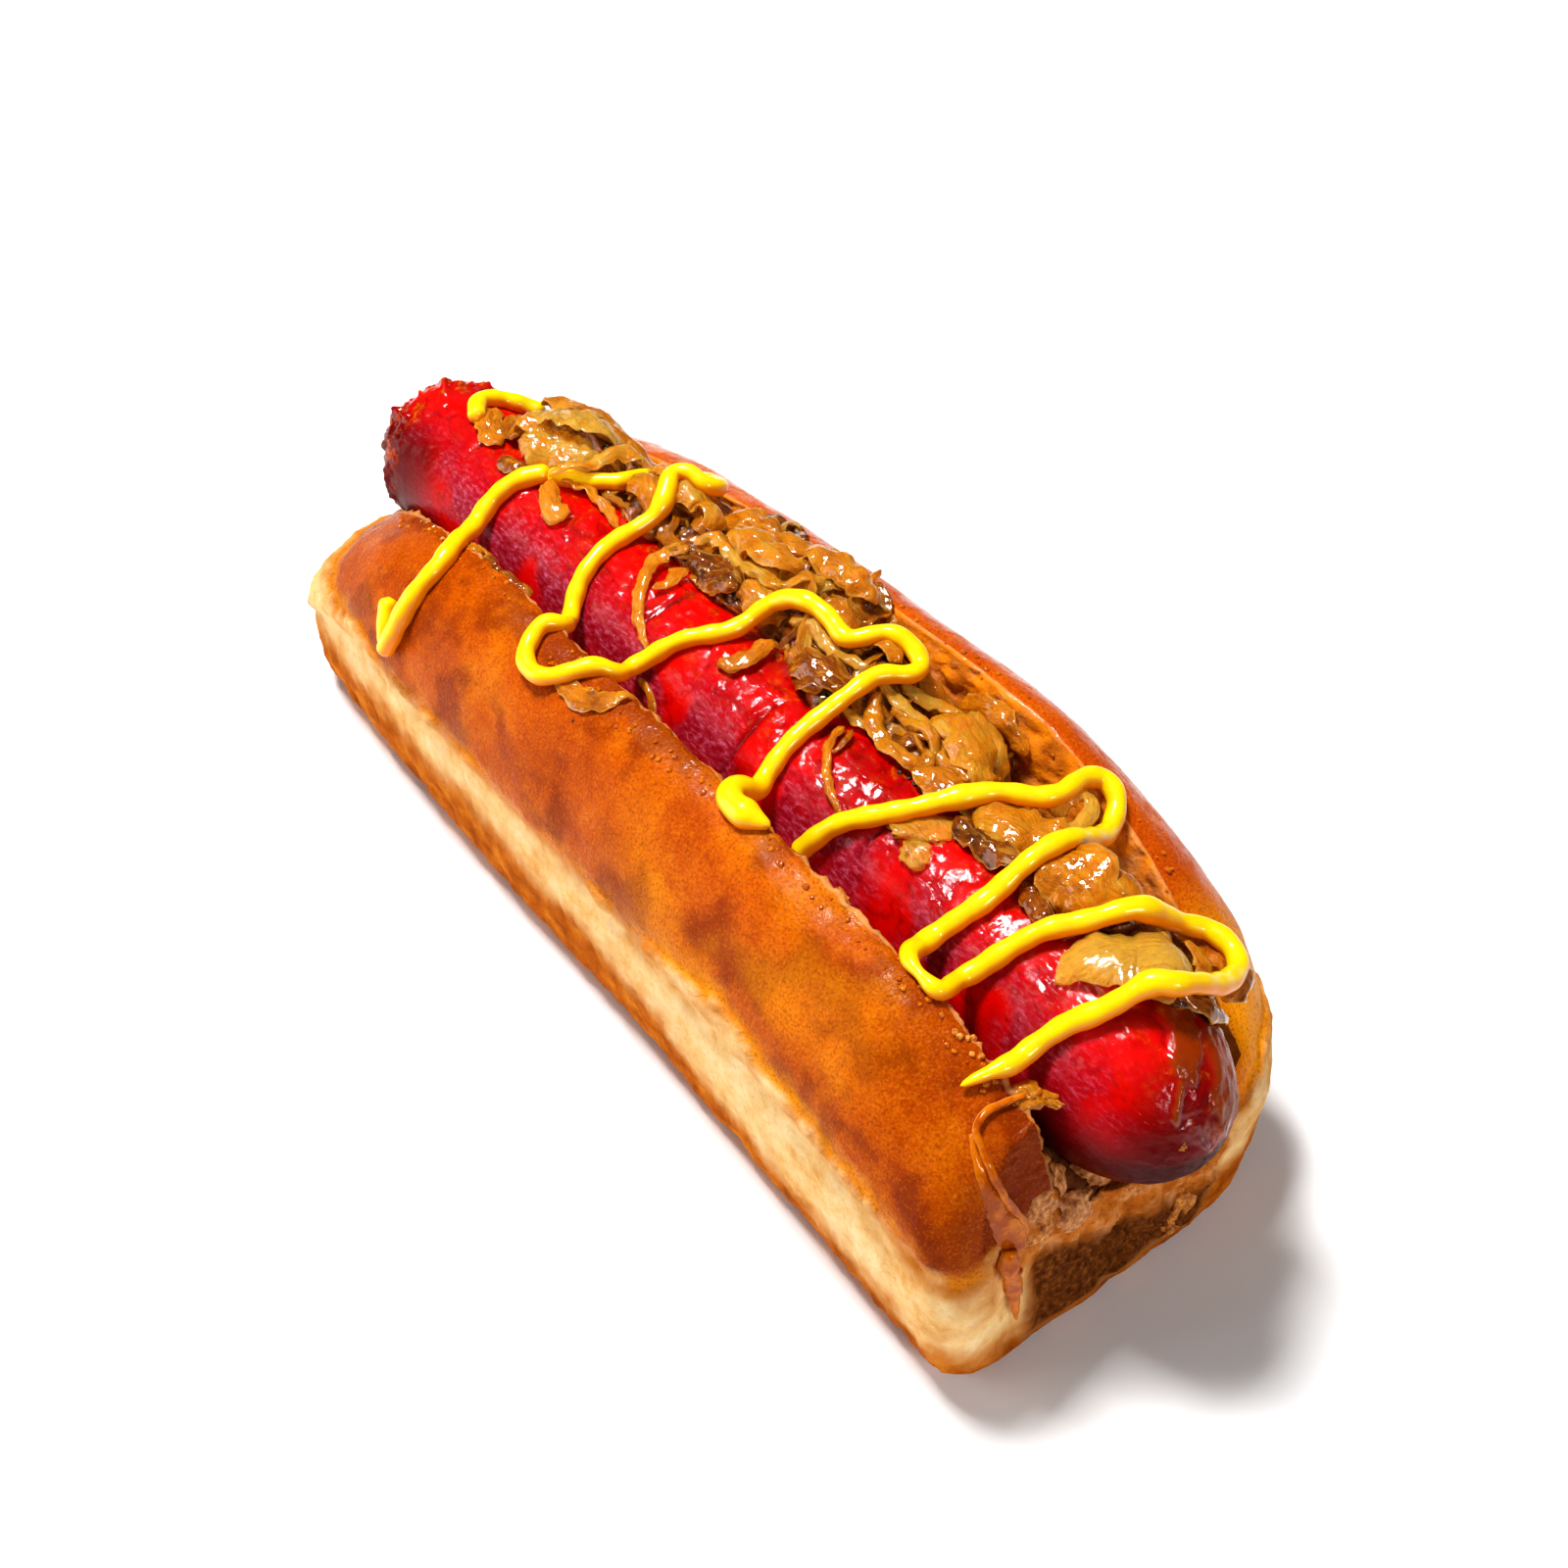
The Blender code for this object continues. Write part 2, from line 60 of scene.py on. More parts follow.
def along(stations: Stations, x: float) -> float:
    """Read a smooth curve through named stations.

    Args:
        stations: Pairs of place and value, in order of place.
        x: The place to read.

    Returns:
        The value at x, held at the first and last station outside them.
    """
    xs = [s[0] for s in stations]
    vs = [s[1] for s in stations]
    if x <= xs[0]:
        return vs[0]
    if x >= xs[-1]:
        return vs[-1]
    i = max(j for j in range(len(xs) - 1) if xs[j] <= x)
    step = xs[i + 1] - xs[i]
    t = (x - xs[i]) / step
    before = max(i - 1, 0)
    after = min(i + 2, len(xs) - 1)
    slope_in = (vs[i + 1] - vs[before]) / (xs[i + 1] - xs[before]) * step
    slope_out = (vs[after] - vs[i]) / (xs[after] - xs[i]) * step
    a = 2 * t**3 - 3 * t**2 + 1
    b = t**3 - 2 * t**2 + t
    c = -2 * t**3 + 3 * t**2
    d = t**3 - t**2
    return a * vs[i] + b * slope_in + c * vs[i + 1] + d * slope_out


def ramp(values: np.ndarray, low: float, high: float) -> np.ndarray:
    """Ease from 0 at low to 1 at high.

    Args:
        values: The numbers to ease.
        low: Where the result is 0.
        high: Where the result is 1; it may be under low, which turns the ramp round.

    Returns:
        The eased numbers, between 0 and 1.
    """
    t = np.clip((values - low) / (high - low), 0.0, 1.0)
    return t * t * (3.0 - 2.0 * t)


def grain(points: np.ndarray, size: float, octaves: int = 3, seed: float = 0.0,
          stretch: Point = (1.0, 1.0, 1.0)) -> np.ndarray:
    """Smooth noise over points.

    Args:
        points: Places in millimetres, one row each.
        size: Size of the features, in millimetres.
        octaves: How many finer layers are added.
        seed: Shifts the pattern, so that two of them differ.
        stretch: How much longer the features are along each axis.

    Returns:
        One number a point, about -1 to 1.
    """
    scaled = points / (size * np.asarray(stretch)) + seed * 17.31
    return np.array([noise.fractal(Vector(p), 0.9, 2.0, octaves) for p in scaled])


def clumps(points: np.ndarray, size: float, octaves: int, seed: float, low: float,
           high: float) -> np.ndarray:
    """Patches of noise with soft edges: 0 where the noise is under low, 1 where it is over high."""
    return ramp(grain(points, size, octaves, seed), low, high)


def bell(values: np.ndarray, centre: Any, reach: float) -> np.ndarray:
    """1 at the centre, falling to 0 a little past the reach on both sides."""
    return np.exp(-(((values - centre) / reach) ** 2))


def smooth_path(turns: Sequence[Sequence[float]], step: float) -> list[np.ndarray]:
    """Points at an even step along a smooth curve through the turns.

    Args:
        turns: The curve's points, flat or in space.
        step: Distance between the results.

    Returns:
        The points in order, with both ends kept.
    """
    padded = [turns[0], *turns, turns[-1]]
    fine = []
    for i in range(1, len(padded) - 2):
        p0, p1, p2, p3 = (np.array(padded[i + k], float) for k in (-1, 0, 1, 2))
        for k in range(20):
            t = k / 20
            fine.append(0.5 * (2 * p1 + (p2 - p0) * t + (2 * p0 - 5 * p1 + 4 * p2 - p3) * t * t
                               + (3 * p1 - p0 - 3 * p2 + p3) * t**3))
    fine.append(np.array(turns[-1], float))
    return resample(fine, step)


def travelled(line: np.ndarray) -> np.ndarray:
    """The length along a line at each of its points."""
    return np.concatenate([[0.0], np.cumsum(np.linalg.norm(np.diff(line, axis=0), axis=1))])


def even_stations(values: Sequence[float]) -> Stations:
    """Values as stations at even steps from 0 to 1."""
    return tuple((i / (len(values) - 1), value) for i, value in enumerate(values))


def resample(points: Sequence[Sequence[float]], step: float) -> list[np.ndarray]:
    """The same line at an even step.

    Args:
        points: The line.
        step: Distance between the results.

    Returns:
        The points in order, with both ends kept.
    """
    line = np.array(points, float)
    lengths = travelled(line)
    count = max(3, int(round(lengths[-1] / step)) + 1)
    at = np.linspace(0.0, lengths[-1], count)
    return list(np.stack([np.interp(at, lengths, line[:, k]) for k in range(line.shape[1])], axis=1))


def relax(points: list[np.ndarray], passes: int) -> list[np.ndarray]:
    """Ease the sharpest turns of a line and keep its ends.

    Args:
        points: The line.
        passes: How many times it is averaged.

    Returns:
        The eased line.
    """
    line = np.array(points)
    for _ in range(passes):
        line[1:-1] = 0.5 * line[1:-1] + 0.25 * (line[:-2] + line[2:])
    return list(line)


def mesh_piece(name: str, points: np.ndarray, faces: Sequence[Sequence[int]],
               marks: dict[str, np.ndarray] | None = None) -> bpy.types.Object:
    """Make a smooth-shaded piece at the origin.

    Args:
        name: The piece's name.
        points: Vertices in millimetres.
        faces: Vertex numbers of each face.
        marks: Named numbers, one a vertex, that the finish reads.

    Returns:
        The linked object.
    """
    mesh = bpy.data.meshes.new(name)
    mesh.from_pydata((np.asarray(points) * MM).tolist(), [], [tuple(f) for f in faces])
    for key, values in (marks or {}).items():
        layer = mesh.attributes.new(key, "FLOAT", "POINT")
        layer.data.foreach_set("value", np.asarray(values, dtype=np.float32))
    mesh.update()
    mesh.shade_smooth()
    piece = bpy.data.objects.new(name, mesh)
    bpy.context.scene.collection.objects.link(piece)
    return piece


def held(marks: dict[str, np.ndarray]) -> dict[str, np.ndarray]:
    """The same marks, held between 0 and 1."""
    return {key: np.clip(values, 0, 1) for key, values in marks.items()}


def outward(points: np.ndarray, faces: Sequence[Sequence[int]]) -> np.ndarray:
    """Vertex normals of a mesh.

    Args:
        points: Vertices in millimetres.
        faces: Vertex numbers of each face.

    Returns:
        One unit vector a vertex.
    """
    mesh = bpy.data.meshes.new("normals")
    mesh.from_pydata(points.tolist(), [], [tuple(f) for f in faces])
    normals = np.empty(len(points) * 3, dtype=np.float32)
    mesh.vertex_normals.foreach_get("vector", normals)
    bpy.data.meshes.remove(mesh)
    return normals.reshape(-1, 3).astype(float)


def tube_faces(rings: int, count: int) -> list[tuple[int, ...]]:
    """Faces between rings of a tube, with its two ends filled.

    Args:
        rings: How many rings the tube has.
        count: Points in each ring.

    Returns:
        Vertex numbers of each face.
    """
    faces: list[tuple[int, ...]] = []
    for i in range(rings - 1):
        for j in range(count):
            k = (j + 1) % count
            faces.append((i * count + j, i * count + k, (i + 1) * count + k, (i + 1) * count + j))
    faces.append(tuple(reversed(range(count))))
    faces.append(tuple(range((rings - 1) * count, rings * count)))
    return faces


class Surface:
    """The upper surface of some pieces as heights over a grid, in millimetres."""

    LOW_X, LOW_Y, PITCH = -92.0, -34.0, 0.5
    COUNT_X, COUNT_Y = 361, 137
    CEILING = 100.0

    def __init__(self, pieces: Sequence[bpy.types.Object]) -> None:
        """Drop a ray on the pieces at each place of the grid."""
        graph = bpy.context.evaluated_depsgraph_get()
        trees = [BVHTree.FromObject(piece, graph) for piece in pieces]
        self.height = np.zeros((self.COUNT_X, self.COUNT_Y))
        down = Vector((0, 0, -1))
        for i in range(self.COUNT_X):
            for j in range(self.COUNT_Y):
                x = (self.LOW_X + i * self.PITCH) * MM
                y = (self.LOW_Y + j * self.PITCH) * MM
                for tree in trees:
                    hit = tree.ray_cast(Vector((x, y, self.CEILING * MM)), down)
                    if hit[0] is not None:
                        self.height[i, j] = max(self.height[i, j], hit[0].z / MM)

    def over(self, radius: float) -> np.ndarray:
        """Heights of the centre of a ball that rests on the surface."""
        reach = int(math.ceil(radius / self.PITCH))
        result = self.height.copy()
        padded = np.pad(self.height, reach, mode="edge")
        for i in range(-reach, reach + 1):
            for j in range(-reach, reach + 1):
                flat = (i * self.PITCH) ** 2 + (j * self.PITCH) ** 2
                if flat > radius * radius:
                    continue
                part = padded[reach + i:reach + i + self.COUNT_X, reach + j:reach + j + self.COUNT_Y]
                result = np.maximum(result, part + math.sqrt(radius * radius - flat))
        return result

    def read(self, grid: np.ndarray, x: float, y: float) -> float:
        """A grid's value at x and y."""
        u = min(max((x - self.LOW_X) / self.PITCH, 0.0), self.COUNT_X - 1.001)
        v = min(max((y - self.LOW_Y) / self.PITCH, 0.0), self.COUNT_Y - 1.001)
        i, j = int(u), int(v)
        a, b = u - i, v - j
        low = grid[i, j] * (1 - b) + grid[i, j + 1] * b
        high = grid[i + 1, j] * (1 - b) + grid[i + 1, j + 1] * b
        return float(low * (1 - a) + high * a)

    def lean(self, grid: np.ndarray, x: float, y: float, reach: float = 1.5) -> Vector:
        """The upward direction of a grid at x and y."""
        fall_x = self.read(grid, x + reach, y) - self.read(grid, x - reach, y)
        fall_y = self.read(grid, x, y + reach) - self.read(grid, x, y - reach)
        return Vector((-fall_x / (2 * reach), -fall_y / (2 * reach), 1.0)).normalized()


# ---------------------------------------------------------------- finishes


def linear(code: str) -> tuple[float, float, float, float]:
    """Turn an sRGB hex colour to Blender's linear colour.

    Args:
        code: Six hex digits, such as "E8A020".

    Returns:
        Red, green, blue and alpha.
    """
    channels = [int(code[i:i + 2], 16) / 255 for i in (0, 2, 4)]
    low, knee, offset, power = 12.92, 0.04045, 0.055, 2.4
    red, green, blue = (c / low if c <= knee else ((c + offset) / (1 + offset)) ** power for c in channels)
    return (red, green, blue, 1.0)


def add(tree: bpy.types.NodeTree, kind: str, inputs: dict[Any, Any] | None = None,
        **settings: Any) -> bpy.types.Node:
    """Add a node with its settings and links.

    Args:
        tree: The shader or geometry tree.
        kind: The node's type name.
        inputs: Values, output sockets or nodes, by the input's name or number.
        settings: Properties of the node.

    Returns:
        The new node.
    """
    node = tree.nodes.new(kind)
    for name, value in settings.items():
        setattr(node, name, value)
    for key, value in (inputs or {}).items():
        put(tree, node.inputs[key], value)
    return node


def put(tree: bpy.types.NodeTree, socket: bpy.types.NodeSocket, value: Any) -> None:
    """Link an input to another socket, or set its plain value.

    Args:
        tree: The shader or geometry tree.
        socket: The input.
        value: A value, an output socket, or a node, which stands for its first output.
    """
    if isinstance(value, bpy.types.Node):
        value = value.outputs[0]
    if isinstance(value, bpy.types.NodeSocket):
        tree.links.new(value, socket)
    else:
        socket.default_value = value


class Texture(Enum):
    """The ways in which a pattern can lie."""

    CLOUD = "patches through the body of the food"
    FIBRES = "streaks along a leaf"
    PORES = "round cells through the body of the food"


@dataclass(frozen=True)
class Pattern:
    """A pattern whose features have a real size in millimetres."""

    size: float
    detail: float = 3.0
    roughness: float = 0.55
    distortion: float = 0.0
    stretch: Point = (1.0, 1.0, 1.0)
    texture: Texture = Texture.CLOUD

    def draw(self, tree: bpy.types.NodeTree) -> bpy.types.NodeSocket:
        """Add the pattern's nodes.

        Args:
            tree: The material's tree.

        Returns:
            Its value at each place.
        """
        if self.texture is Texture.FIBRES:
            ways = {axis: add(tree, "ShaderNodeAttribute", attribute_name=name).outputs["Fac"]
                    for axis, name in (("X", "along"), ("Y", "across"))}
            place, scale = add(tree, "ShaderNodeCombineXYZ", ways).outputs["Vector"], 1.0
        else:
            place, scale = add(tree, "ShaderNodeTexCoord").outputs["Object"], 1.0 / MM
        scale = tuple(scale / stretch for stretch in self.stretch)
        laid = add(tree, "ShaderNodeMapping", {"Vector": place, "Scale": scale}).outputs["Vector"]
        inputs = {"Vector": laid, "Scale": 1.0 / self.size}
        if self.texture is Texture.PORES:
            return add(tree, "ShaderNodeTexVoronoi", inputs).outputs["Distance"]
        inputs |= {"Detail": self.detail, "Roughness": self.roughness, "Distortion": self.distortion}
        return add(tree, "ShaderNodeTexNoise", inputs).outputs["Fac"]


@dataclass(frozen=True)
class Joined:
    """Several readings added or multiplied together."""

    readings: tuple[Any, ...]
    operation: str = "MULTIPLY"


# What a material can read at each place: a mark of the mesh or a pattern by name, or its name with the two
# values between which it is eased and the two that it is eased to (0 and 1 if not said), or several joined
Reading = str | tuple[Any, ...] | Joined
Stops = tuple[tuple[float, str], ...]


@dataclass(frozen=True)
class Layer:
    """A colour, or stops of colour along a reading, laid over what is under it as far as a reading says."""

    colours: str | Stops
    where: Reading = ""
    along: Reading = ""
    tints: tuple["Layer", ...] = ()


class Painter:
    """Adds the nodes of one material."""

    def __init__(self, tree: bpy.types.NodeTree, patterns: dict[str, Pattern]) -> None:
        """Start with the material's tree and its patterns by name."""
        self.tree = tree
        self.patterns = patterns
        self.drawn: dict[str, bpy.types.NodeSocket] = {}

    def read(self, reading: Reading) -> bpy.types.NodeSocket:
        """Add what a reading needs.

        Args:
            reading: A name, a name with its limits, or several joined.

        Returns:
            Its value at each place.
        """
        if isinstance(reading, Joined):
            value, *others = [self.read(part) for part in reading.readings]
            for other in others:
                step = add(self.tree, "ShaderNodeMath", {0: value, 1: other}, operation=reading.operation)
                value = step.outputs["Value"]
            return value
        if isinstance(reading, tuple):
            inputs = dict(zip(("Value", "From Min", "From Max", "To Min", "To Max"), reading))
            inputs["Value"] = self.read(reading[0])
            eased = add(self.tree, "ShaderNodeMapRange", inputs, interpolation_type="SMOOTHSTEP")
            return eased.outputs["Result"]
        if reading not in self.drawn:
            if reading in self.patterns:
                self.drawn[reading] = self.patterns[reading].draw(self.tree)
            else:
                mark = add(self.tree, "ShaderNodeAttribute", attribute_name=reading)
                self.drawn[reading] = mark.outputs["Fac"]
        return self.drawn[reading]

    def colour(self, under: Any, layers: Sequence[Layer]) -> Any:
        """Lay layers over a colour, in order.

        Args:
            under: The colour below, as a value or a socket.
            layers: The layers; each one's tints are laid on it first.

        Returns:
            The colour that results.
        """
        for layer in layers:
            if isinstance(layer.colours, str):
                top = linear(layer.colours)
            else:
                node = add(self.tree, "ShaderNodeValToRGB", {"Fac": self.read(layer.along)})
                stops = node.color_ramp.elements
                stops.remove(stops[-1])
                stops[0].position = layer.colours[0][0]
                stops[0].color = linear(layer.colours[0][1])
                for position, code in layer.colours[1:]:
                    stops.new(position).color = linear(code)
                top = node.outputs["Color"]
            top = self.colour(top, layer.tints)
            if layer.where:
                inputs = {"Factor": self.read(layer.where), 6: under, 7: top}
                top = add(self.tree, "ShaderNodeMix", inputs, data_type="RGBA").outputs[2]
            under = top
        return under

    def relief(self, steps: Sequence[tuple[Reading, float]], socket: bpy.types.NodeSocket) -> None:
        """Raise readings one over the other into a normal socket.

        Args:
            steps: Readings and how far each is raised, in millimetres.
            socket: The shader's normal input.
        """
        for reading, depth in steps:
            node = add(self.tree, "ShaderNodeBump", {
                "Height": self.read(reading), "Distance": depth * MM, "Strength": 1.0})
            if socket.links:
                put(self.tree, node.inputs["Normal"], socket.links[0].from_socket)
            put(self.tree, socket, node.outputs["Normal"])


@dataclass(frozen=True)
class Finish:
    """A material: its uniform shader values, and the layers and reliefs that vary over the food."""

    name: str
    layers: tuple[Layer, ...]
    patterns: dict[str, Pattern] = field(default_factory=dict)
    relief: tuple[tuple[Reading, float], ...] = ()
    film_relief: tuple[tuple[Reading, float], ...] = ()
    varied: dict[str, Reading] = field(default_factory=dict)
    roughness: float = 0.5
    ior: float = 1.45
    specular: float = 0.5
    coat: float = 0.0
    coat_roughness: float = 0.1
    subsurface: float = 0.0
    subsurface_scale: float = 1.0

    def make(self) -> bpy.types.Material:
        """Build the material.

        Returns:
            A material with one painted Principled shader.
        """
        material = bpy.data.materials.new(self.name)
        material.use_nodes = True
        tree = material.node_tree
        inputs = tree.nodes["Principled BSDF"].inputs
        uniform = {
            "Roughness": self.roughness, "IOR": self.ior, "Specular IOR Level": self.specular,
            "Coat Weight": self.coat, "Coat Roughness": self.coat_roughness,
            "Subsurface Weight": self.subsurface, "Subsurface Scale": self.subsurface_scale * MM,
            "Subsurface Radius": (1.0, 0.4, 0.15),
        }
        for name, value in uniform.items():
            inputs[name].default_value = value
        painter = Painter(tree, self.patterns)
        put(tree, inputs["Base Color"], painter.colour(None, self.layers))
        for name, reading in self.varied.items():
            put(tree, inputs[name], painter.read(reading))
        painter.relief(self.relief, inputs["Normal"])
        painter.relief(self.film_relief, inputs["Coat Normal"])
        return material


class Finishes(Enum):
    """Every finish of the scene, made once."""

    # Egg-washed milk bread: a glossy crust, pale matt sides that tore from the next roll, a browned base, an
    # open crumb where it is cut and a darker, porous heel
    ROLL = Finish(
        "egg_washed_milk_bread", roughness=0.5, specular=0.06, coat_roughness=0.08, subsurface=0.1,
        subsurface_scale=1.5,
        patterns={
            "broad": Pattern(14.0, 5.0, 0.6), "patch": Pattern(4.5, 5.0, 0.65),
            "mottle": Pattern(1.9, 4.0, 0.72, 0.3), "fine": Pattern(0.8, 3.0, 0.6),
            "speck": Pattern(0.32, 2.0, 0.5), "pores": Pattern(1.0, texture=Texture.PORES),
        },
        layers=(
            Layer(((0.34, "F8DCA8"), (0.54, "F2C888"), (0.72, "DC9C50")), along="patch"),
            Layer("D89850", ("fine", 0.5, 0.7, 0.0, 0.3)),
            Layer("C8741C", "margin"),
            Layer(((0.34, "BC5200"), (0.5, "D86600"), (0.64, "EC8206")), "crust", "broad", (
                Layer("B84600", ("patch", 0.5, 0.75, 0.0, 0.45)),
                Layer("9A3C00", ("mottle", 0.5, 0.72, 0.0, 0.45)),
                Layer("FA9A1C", ("mottle", 0.46, 0.3, 0.0, 0.3)),
                # The dark mark: browner crust at the ends and in blotches, plus painted shade
                Layer("701E00", "dark"),
                Layer("C24E02", "russet"),
                Layer("FAA004", "gold"),
                Layer("8C3200", ("speck", 0.5, 0.68, 0.0, 0.5)),
                Layer("FF9A18", ("speck", 0.47, 0.32, 0.0, 0.14)),
            )),
            Layer(((0.3, "D88418"), (0.5, "B8600C"), (0.72, "803A06")), "toast", "patch", (
                Layer("6E340C", ("fine", 0.5, 0.8, 0.0, 0.5)),
            )),
            Layer(((0.3, "9A4606"), (0.5, "C87428"), (0.7, "E8A870")), "crumb", "patch", (
                Layer("7A3E14", ("fine", 0.5, 0.75, 0.0, 0.6)),
            )),
            Layer(((0.34, "4E260A"), (0.52, "703C14"), (0.72, "965A28")), "heel", "fine"),
            Layer("F08C10", "grease"),
            # Painted shade low in the slot
            Layer("501C04", "gloom"),
        ),
        varied={
            "Roughness": Joined((("crust", 0.0, 1.0, 0.85, 0.3), ("patch", 0.3, 0.7, -0.05, 0.12),
                                 Joined(("wet", ("patch", 0.42, 0.52, 0.0, -0.15)))), "ADD"),
            "Coat Weight": Joined(("wet", ("patch", 0.42, 0.52, 0.0, 0.5))),
        },
        relief=(("fine", 0.14), ("speck", 0.08), (("pores", 0.0, 0.4), 0.06)),
        film_relief=(("mottle", 0.25),),
    )

    # Smoked skin under a sticky glaze, scarlet and wet on top, with a painted violet sheen
    # along its near side, painted shade underneath and in its creases and cracks, and darker ends
    SAUSAGE = Finish(
        "glazed_red_sausage_skin", roughness=0.34, specular=0.06, coat=1.0, coat_roughness=0.03,
        subsurface=0.04,
        patterns={
            "broad": Pattern(9.0), "patch": Pattern(2.6, 4.0, 0.65), "fine": Pattern(0.7, 3.0, 0.6),
            "beads": Pattern(1.7, 1.5, 0.5), "creases": Pattern(0.45, 4.0, 0.6, 0.4, (2.4, 1.0, 1.0)),
        },
        layers=(
            Layer(((0.32, "AA0000"), (0.5, "CC0200"), (0.68, "E60A00")), along="broad"),
            # Painted shade underneath, in creases and cracks, and darker towards both ends
            Layer("5A0000", "deep"),
            # Painted sheen: a violet band along the near side
            Layer(((0.38, "8A0614"), (0.52, "9C2036"), (0.68, "B85A70")), "bloom", "creases"),
            Layer(((0.34, "781800"), (0.5, "A43400"), (0.66, "D8680C")),
                  Joined(("sauce", ("patch", 0.5, 0.62))), "fine"),
            Layer("8A3A04", "amber"),
            Layer("1E0602", "char"),
        ),
        varied={"Coat Weight": "gloss"},
        relief=(("creases", 0.06),),
        film_relief=(("creases", 0.05), ("beads", 0.28)),
    )

    # Onion fried soft: thin gold leaves that show a little of what they lie on, with paler and darker fibres
    # along them, browner and solid where they are thick, and wet all over
    ONION = Finish(
        "fried_golden_onion", roughness=0.3, ior=1.36, specular=0.06, coat=0.9, coat_roughness=0.03,
        subsurface=0.25, subsurface_scale=0.4,
        patterns={
            "patch": Pattern(2.6, 3.0, 0.6), "fine": Pattern(0.6, 3.0, 0.6), "ripple": Pattern(1.2, 1.0),
            "fibres": Pattern(0.5, 3.0, 0.55, 0.3, (6.25, 1.0, 1.0), Texture.FIBRES),
        },
        layers=(
            Layer(((0.0, "FFC848"), (0.15, "FBA818"), (0.4, "E08608"), (0.68, "964A04"), (1.0, "341200")),
                  along=Joined(("tone", ("patch", 0.3, 0.7, -0.16, 0.16)), "ADD")),
            Layer("FFC040", ("fibres", 0.52, 0.66, 0.0, 0.35)),
            Layer("9A4C02", ("fibres", 0.46, 0.32, 0.0, 0.35)),
            Layer("FFC458", ("rim", 0.6, 1.0, 0.0, 0.5)),
        ),
        varied={
            "Transmission Weight": ("tone", 0.2, 0.8, 0.4, 0.2),
            "Alpha": Joined((("tone", 0.0, 0.45, 0.7, 1.0), ("patch", 0.35, 0.65, -0.12, 0.06)), "ADD"),
        },
        relief=(("fibres", 0.34), ("patch", 0.25), ("fine", 0.24)),
        film_relief=(("fibres", 0.05), ("ripple", 0.2)),
    )

    # Squeezed yellow mustard: smooth, opaque and wet, with painted orange shade where it turns from the light
    MUSTARD = Finish(
        "yellow_mustard", roughness=0.4, specular=0.2, coat=0.5, coat_roughness=0.06, subsurface=0.2,
        patterns={"patch": Pattern(3.0, 2.0), "ripple": Pattern(1.6, 1.0)},
        layers=(Layer("FFDC00"), Layer("FFD000", ("patch", 0.35, 0.7)), Layer("F08C00", "shade")),
        relief=(("ripple", 0.05),),
    )

    # Cooking juice that has run and set: amber and sticky, paler at its thin edges
    GLAZE = Finish(
        "amber_cooking_glaze", roughness=0.4, ior=1.35, specular=0.06, coat=0.5, coat_roughness=0.03,
        subsurface=0.2, subsurface_scale=1.5,
        patterns={"patch": Pattern(1.8)},
        layers=(
            Layer("A84A00"),
            Layer("D47404", ("patch", 0.35, 0.65)),
            Layer("FFB050", ("rim", 0.75, 1.0, 0.0, 0.5)),
        ),
        relief=(("patch", 0.35),),
        film_relief=(("patch", 0.15),),
    )

    # Scraps of onion burnt near black, with brown edges
    CHAR = Finish(
        "charred_onion_scraps", roughness=0.35, coat=0.6, patterns={"fine": Pattern(0.8)},
        layers=(Layer("120806"), Layer("3E1A08", ("fine", 0.35, 0.7))),
        relief=(("fine", 0.2),),
    )

    # Torn bread crumb: toasted gold, or duller where it was inside the roll, with brown pits
    CRUMB = Finish(
        "toasted_bread_crumbs", roughness=0.6, patterns={"fine": Pattern(0.6)},
        layers=(
            Layer(((0.35, "EAA040"), (0.5, "C47420"), (0.68, "8A4408")), along="fine"),
            Layer(((0.35, "E0A068"), (0.5, "C07A40"), (0.68, "98581E")), "tone", "fine"),
        ),
        relief=(("fine", 0.15),),
    )

    # A plain pale studio floor
    FLOOR = Finish("pale_studio_floor", (Layer("FAFAFA"),), roughness=0.8)

    def material(self) -> bpy.types.Material:
        """The finish's material, made the first time it is asked for."""
        return bpy.data.materials.get(self.value.name) or self.value.make()


def hand_over(piece: bpy.types.Object, finish: Finishes, slot: str, *nodes: str) -> bpy.types.Object:
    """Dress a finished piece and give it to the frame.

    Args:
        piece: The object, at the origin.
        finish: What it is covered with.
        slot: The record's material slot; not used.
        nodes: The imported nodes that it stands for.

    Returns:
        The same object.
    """
    piece.data.materials.clear()
    piece.data.materials.append(finish.material())
    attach(piece, "root")
    if nodes:
        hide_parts(*nodes)
    LOG.info("%s: %d faces", piece.name, len(piece.data.polygons))
    return piece


# ---------------------------------------------------------------- geometry nodes


def new_tree(name: str, sizes: dict[str, float], seed: int) -> tuple[bpy.types.NodeTree, bpy.types.Node]:
    """Start a geometry tree with named inputs.

    Args:
        name: The tree's name.
        sizes: Input names and their values in millimetres or plain numbers.
        seed: The fixed seed, offered as an input of its own.

    Returns:
        The tree and its group input node.
    """
    tree = bpy.data.node_groups.new(name, "GeometryNodeTree")
    tree.interface.new_socket("Geometry", in_out="INPUT", socket_type="NodeSocketGeometry")
    tree.interface.new_socket("Geometry", in_out="OUTPUT", socket_type="NodeSocketGeometry")
    for key, value in sizes.items():
        socket = tree.interface.new_socket(key, in_out="INPUT", socket_type="NodeSocketFloat")
        socket.default_value = value
    socket = tree.interface.new_socket("Seed", in_out="INPUT", socket_type="NodeSocketInt")
    socket.default_value = seed
    return tree, tree.nodes.new("NodeGroupInput")


def end_tree(tree: bpy.types.NodeTree, geometry: bpy.types.Node, finish: Finishes) -> None:
    """Close a geometry tree with Realize Instances and Set Material.

    Args:
        tree: The tree to end.
        geometry: The node that makes the geometry so far.
        finish: What it is covered with.
    """
    real = add(tree, "GeometryNodeRealizeInstances", {"Geometry": geometry})
    smooth = add(tree, "GeometryNodeSetShadeSmooth", {"Geometry": real})
    dressed = add(tree, "GeometryNodeSetMaterial", {"Geometry": smooth, "Material": finish.material()})
    add(tree, "NodeGroupOutput", {0: dressed})


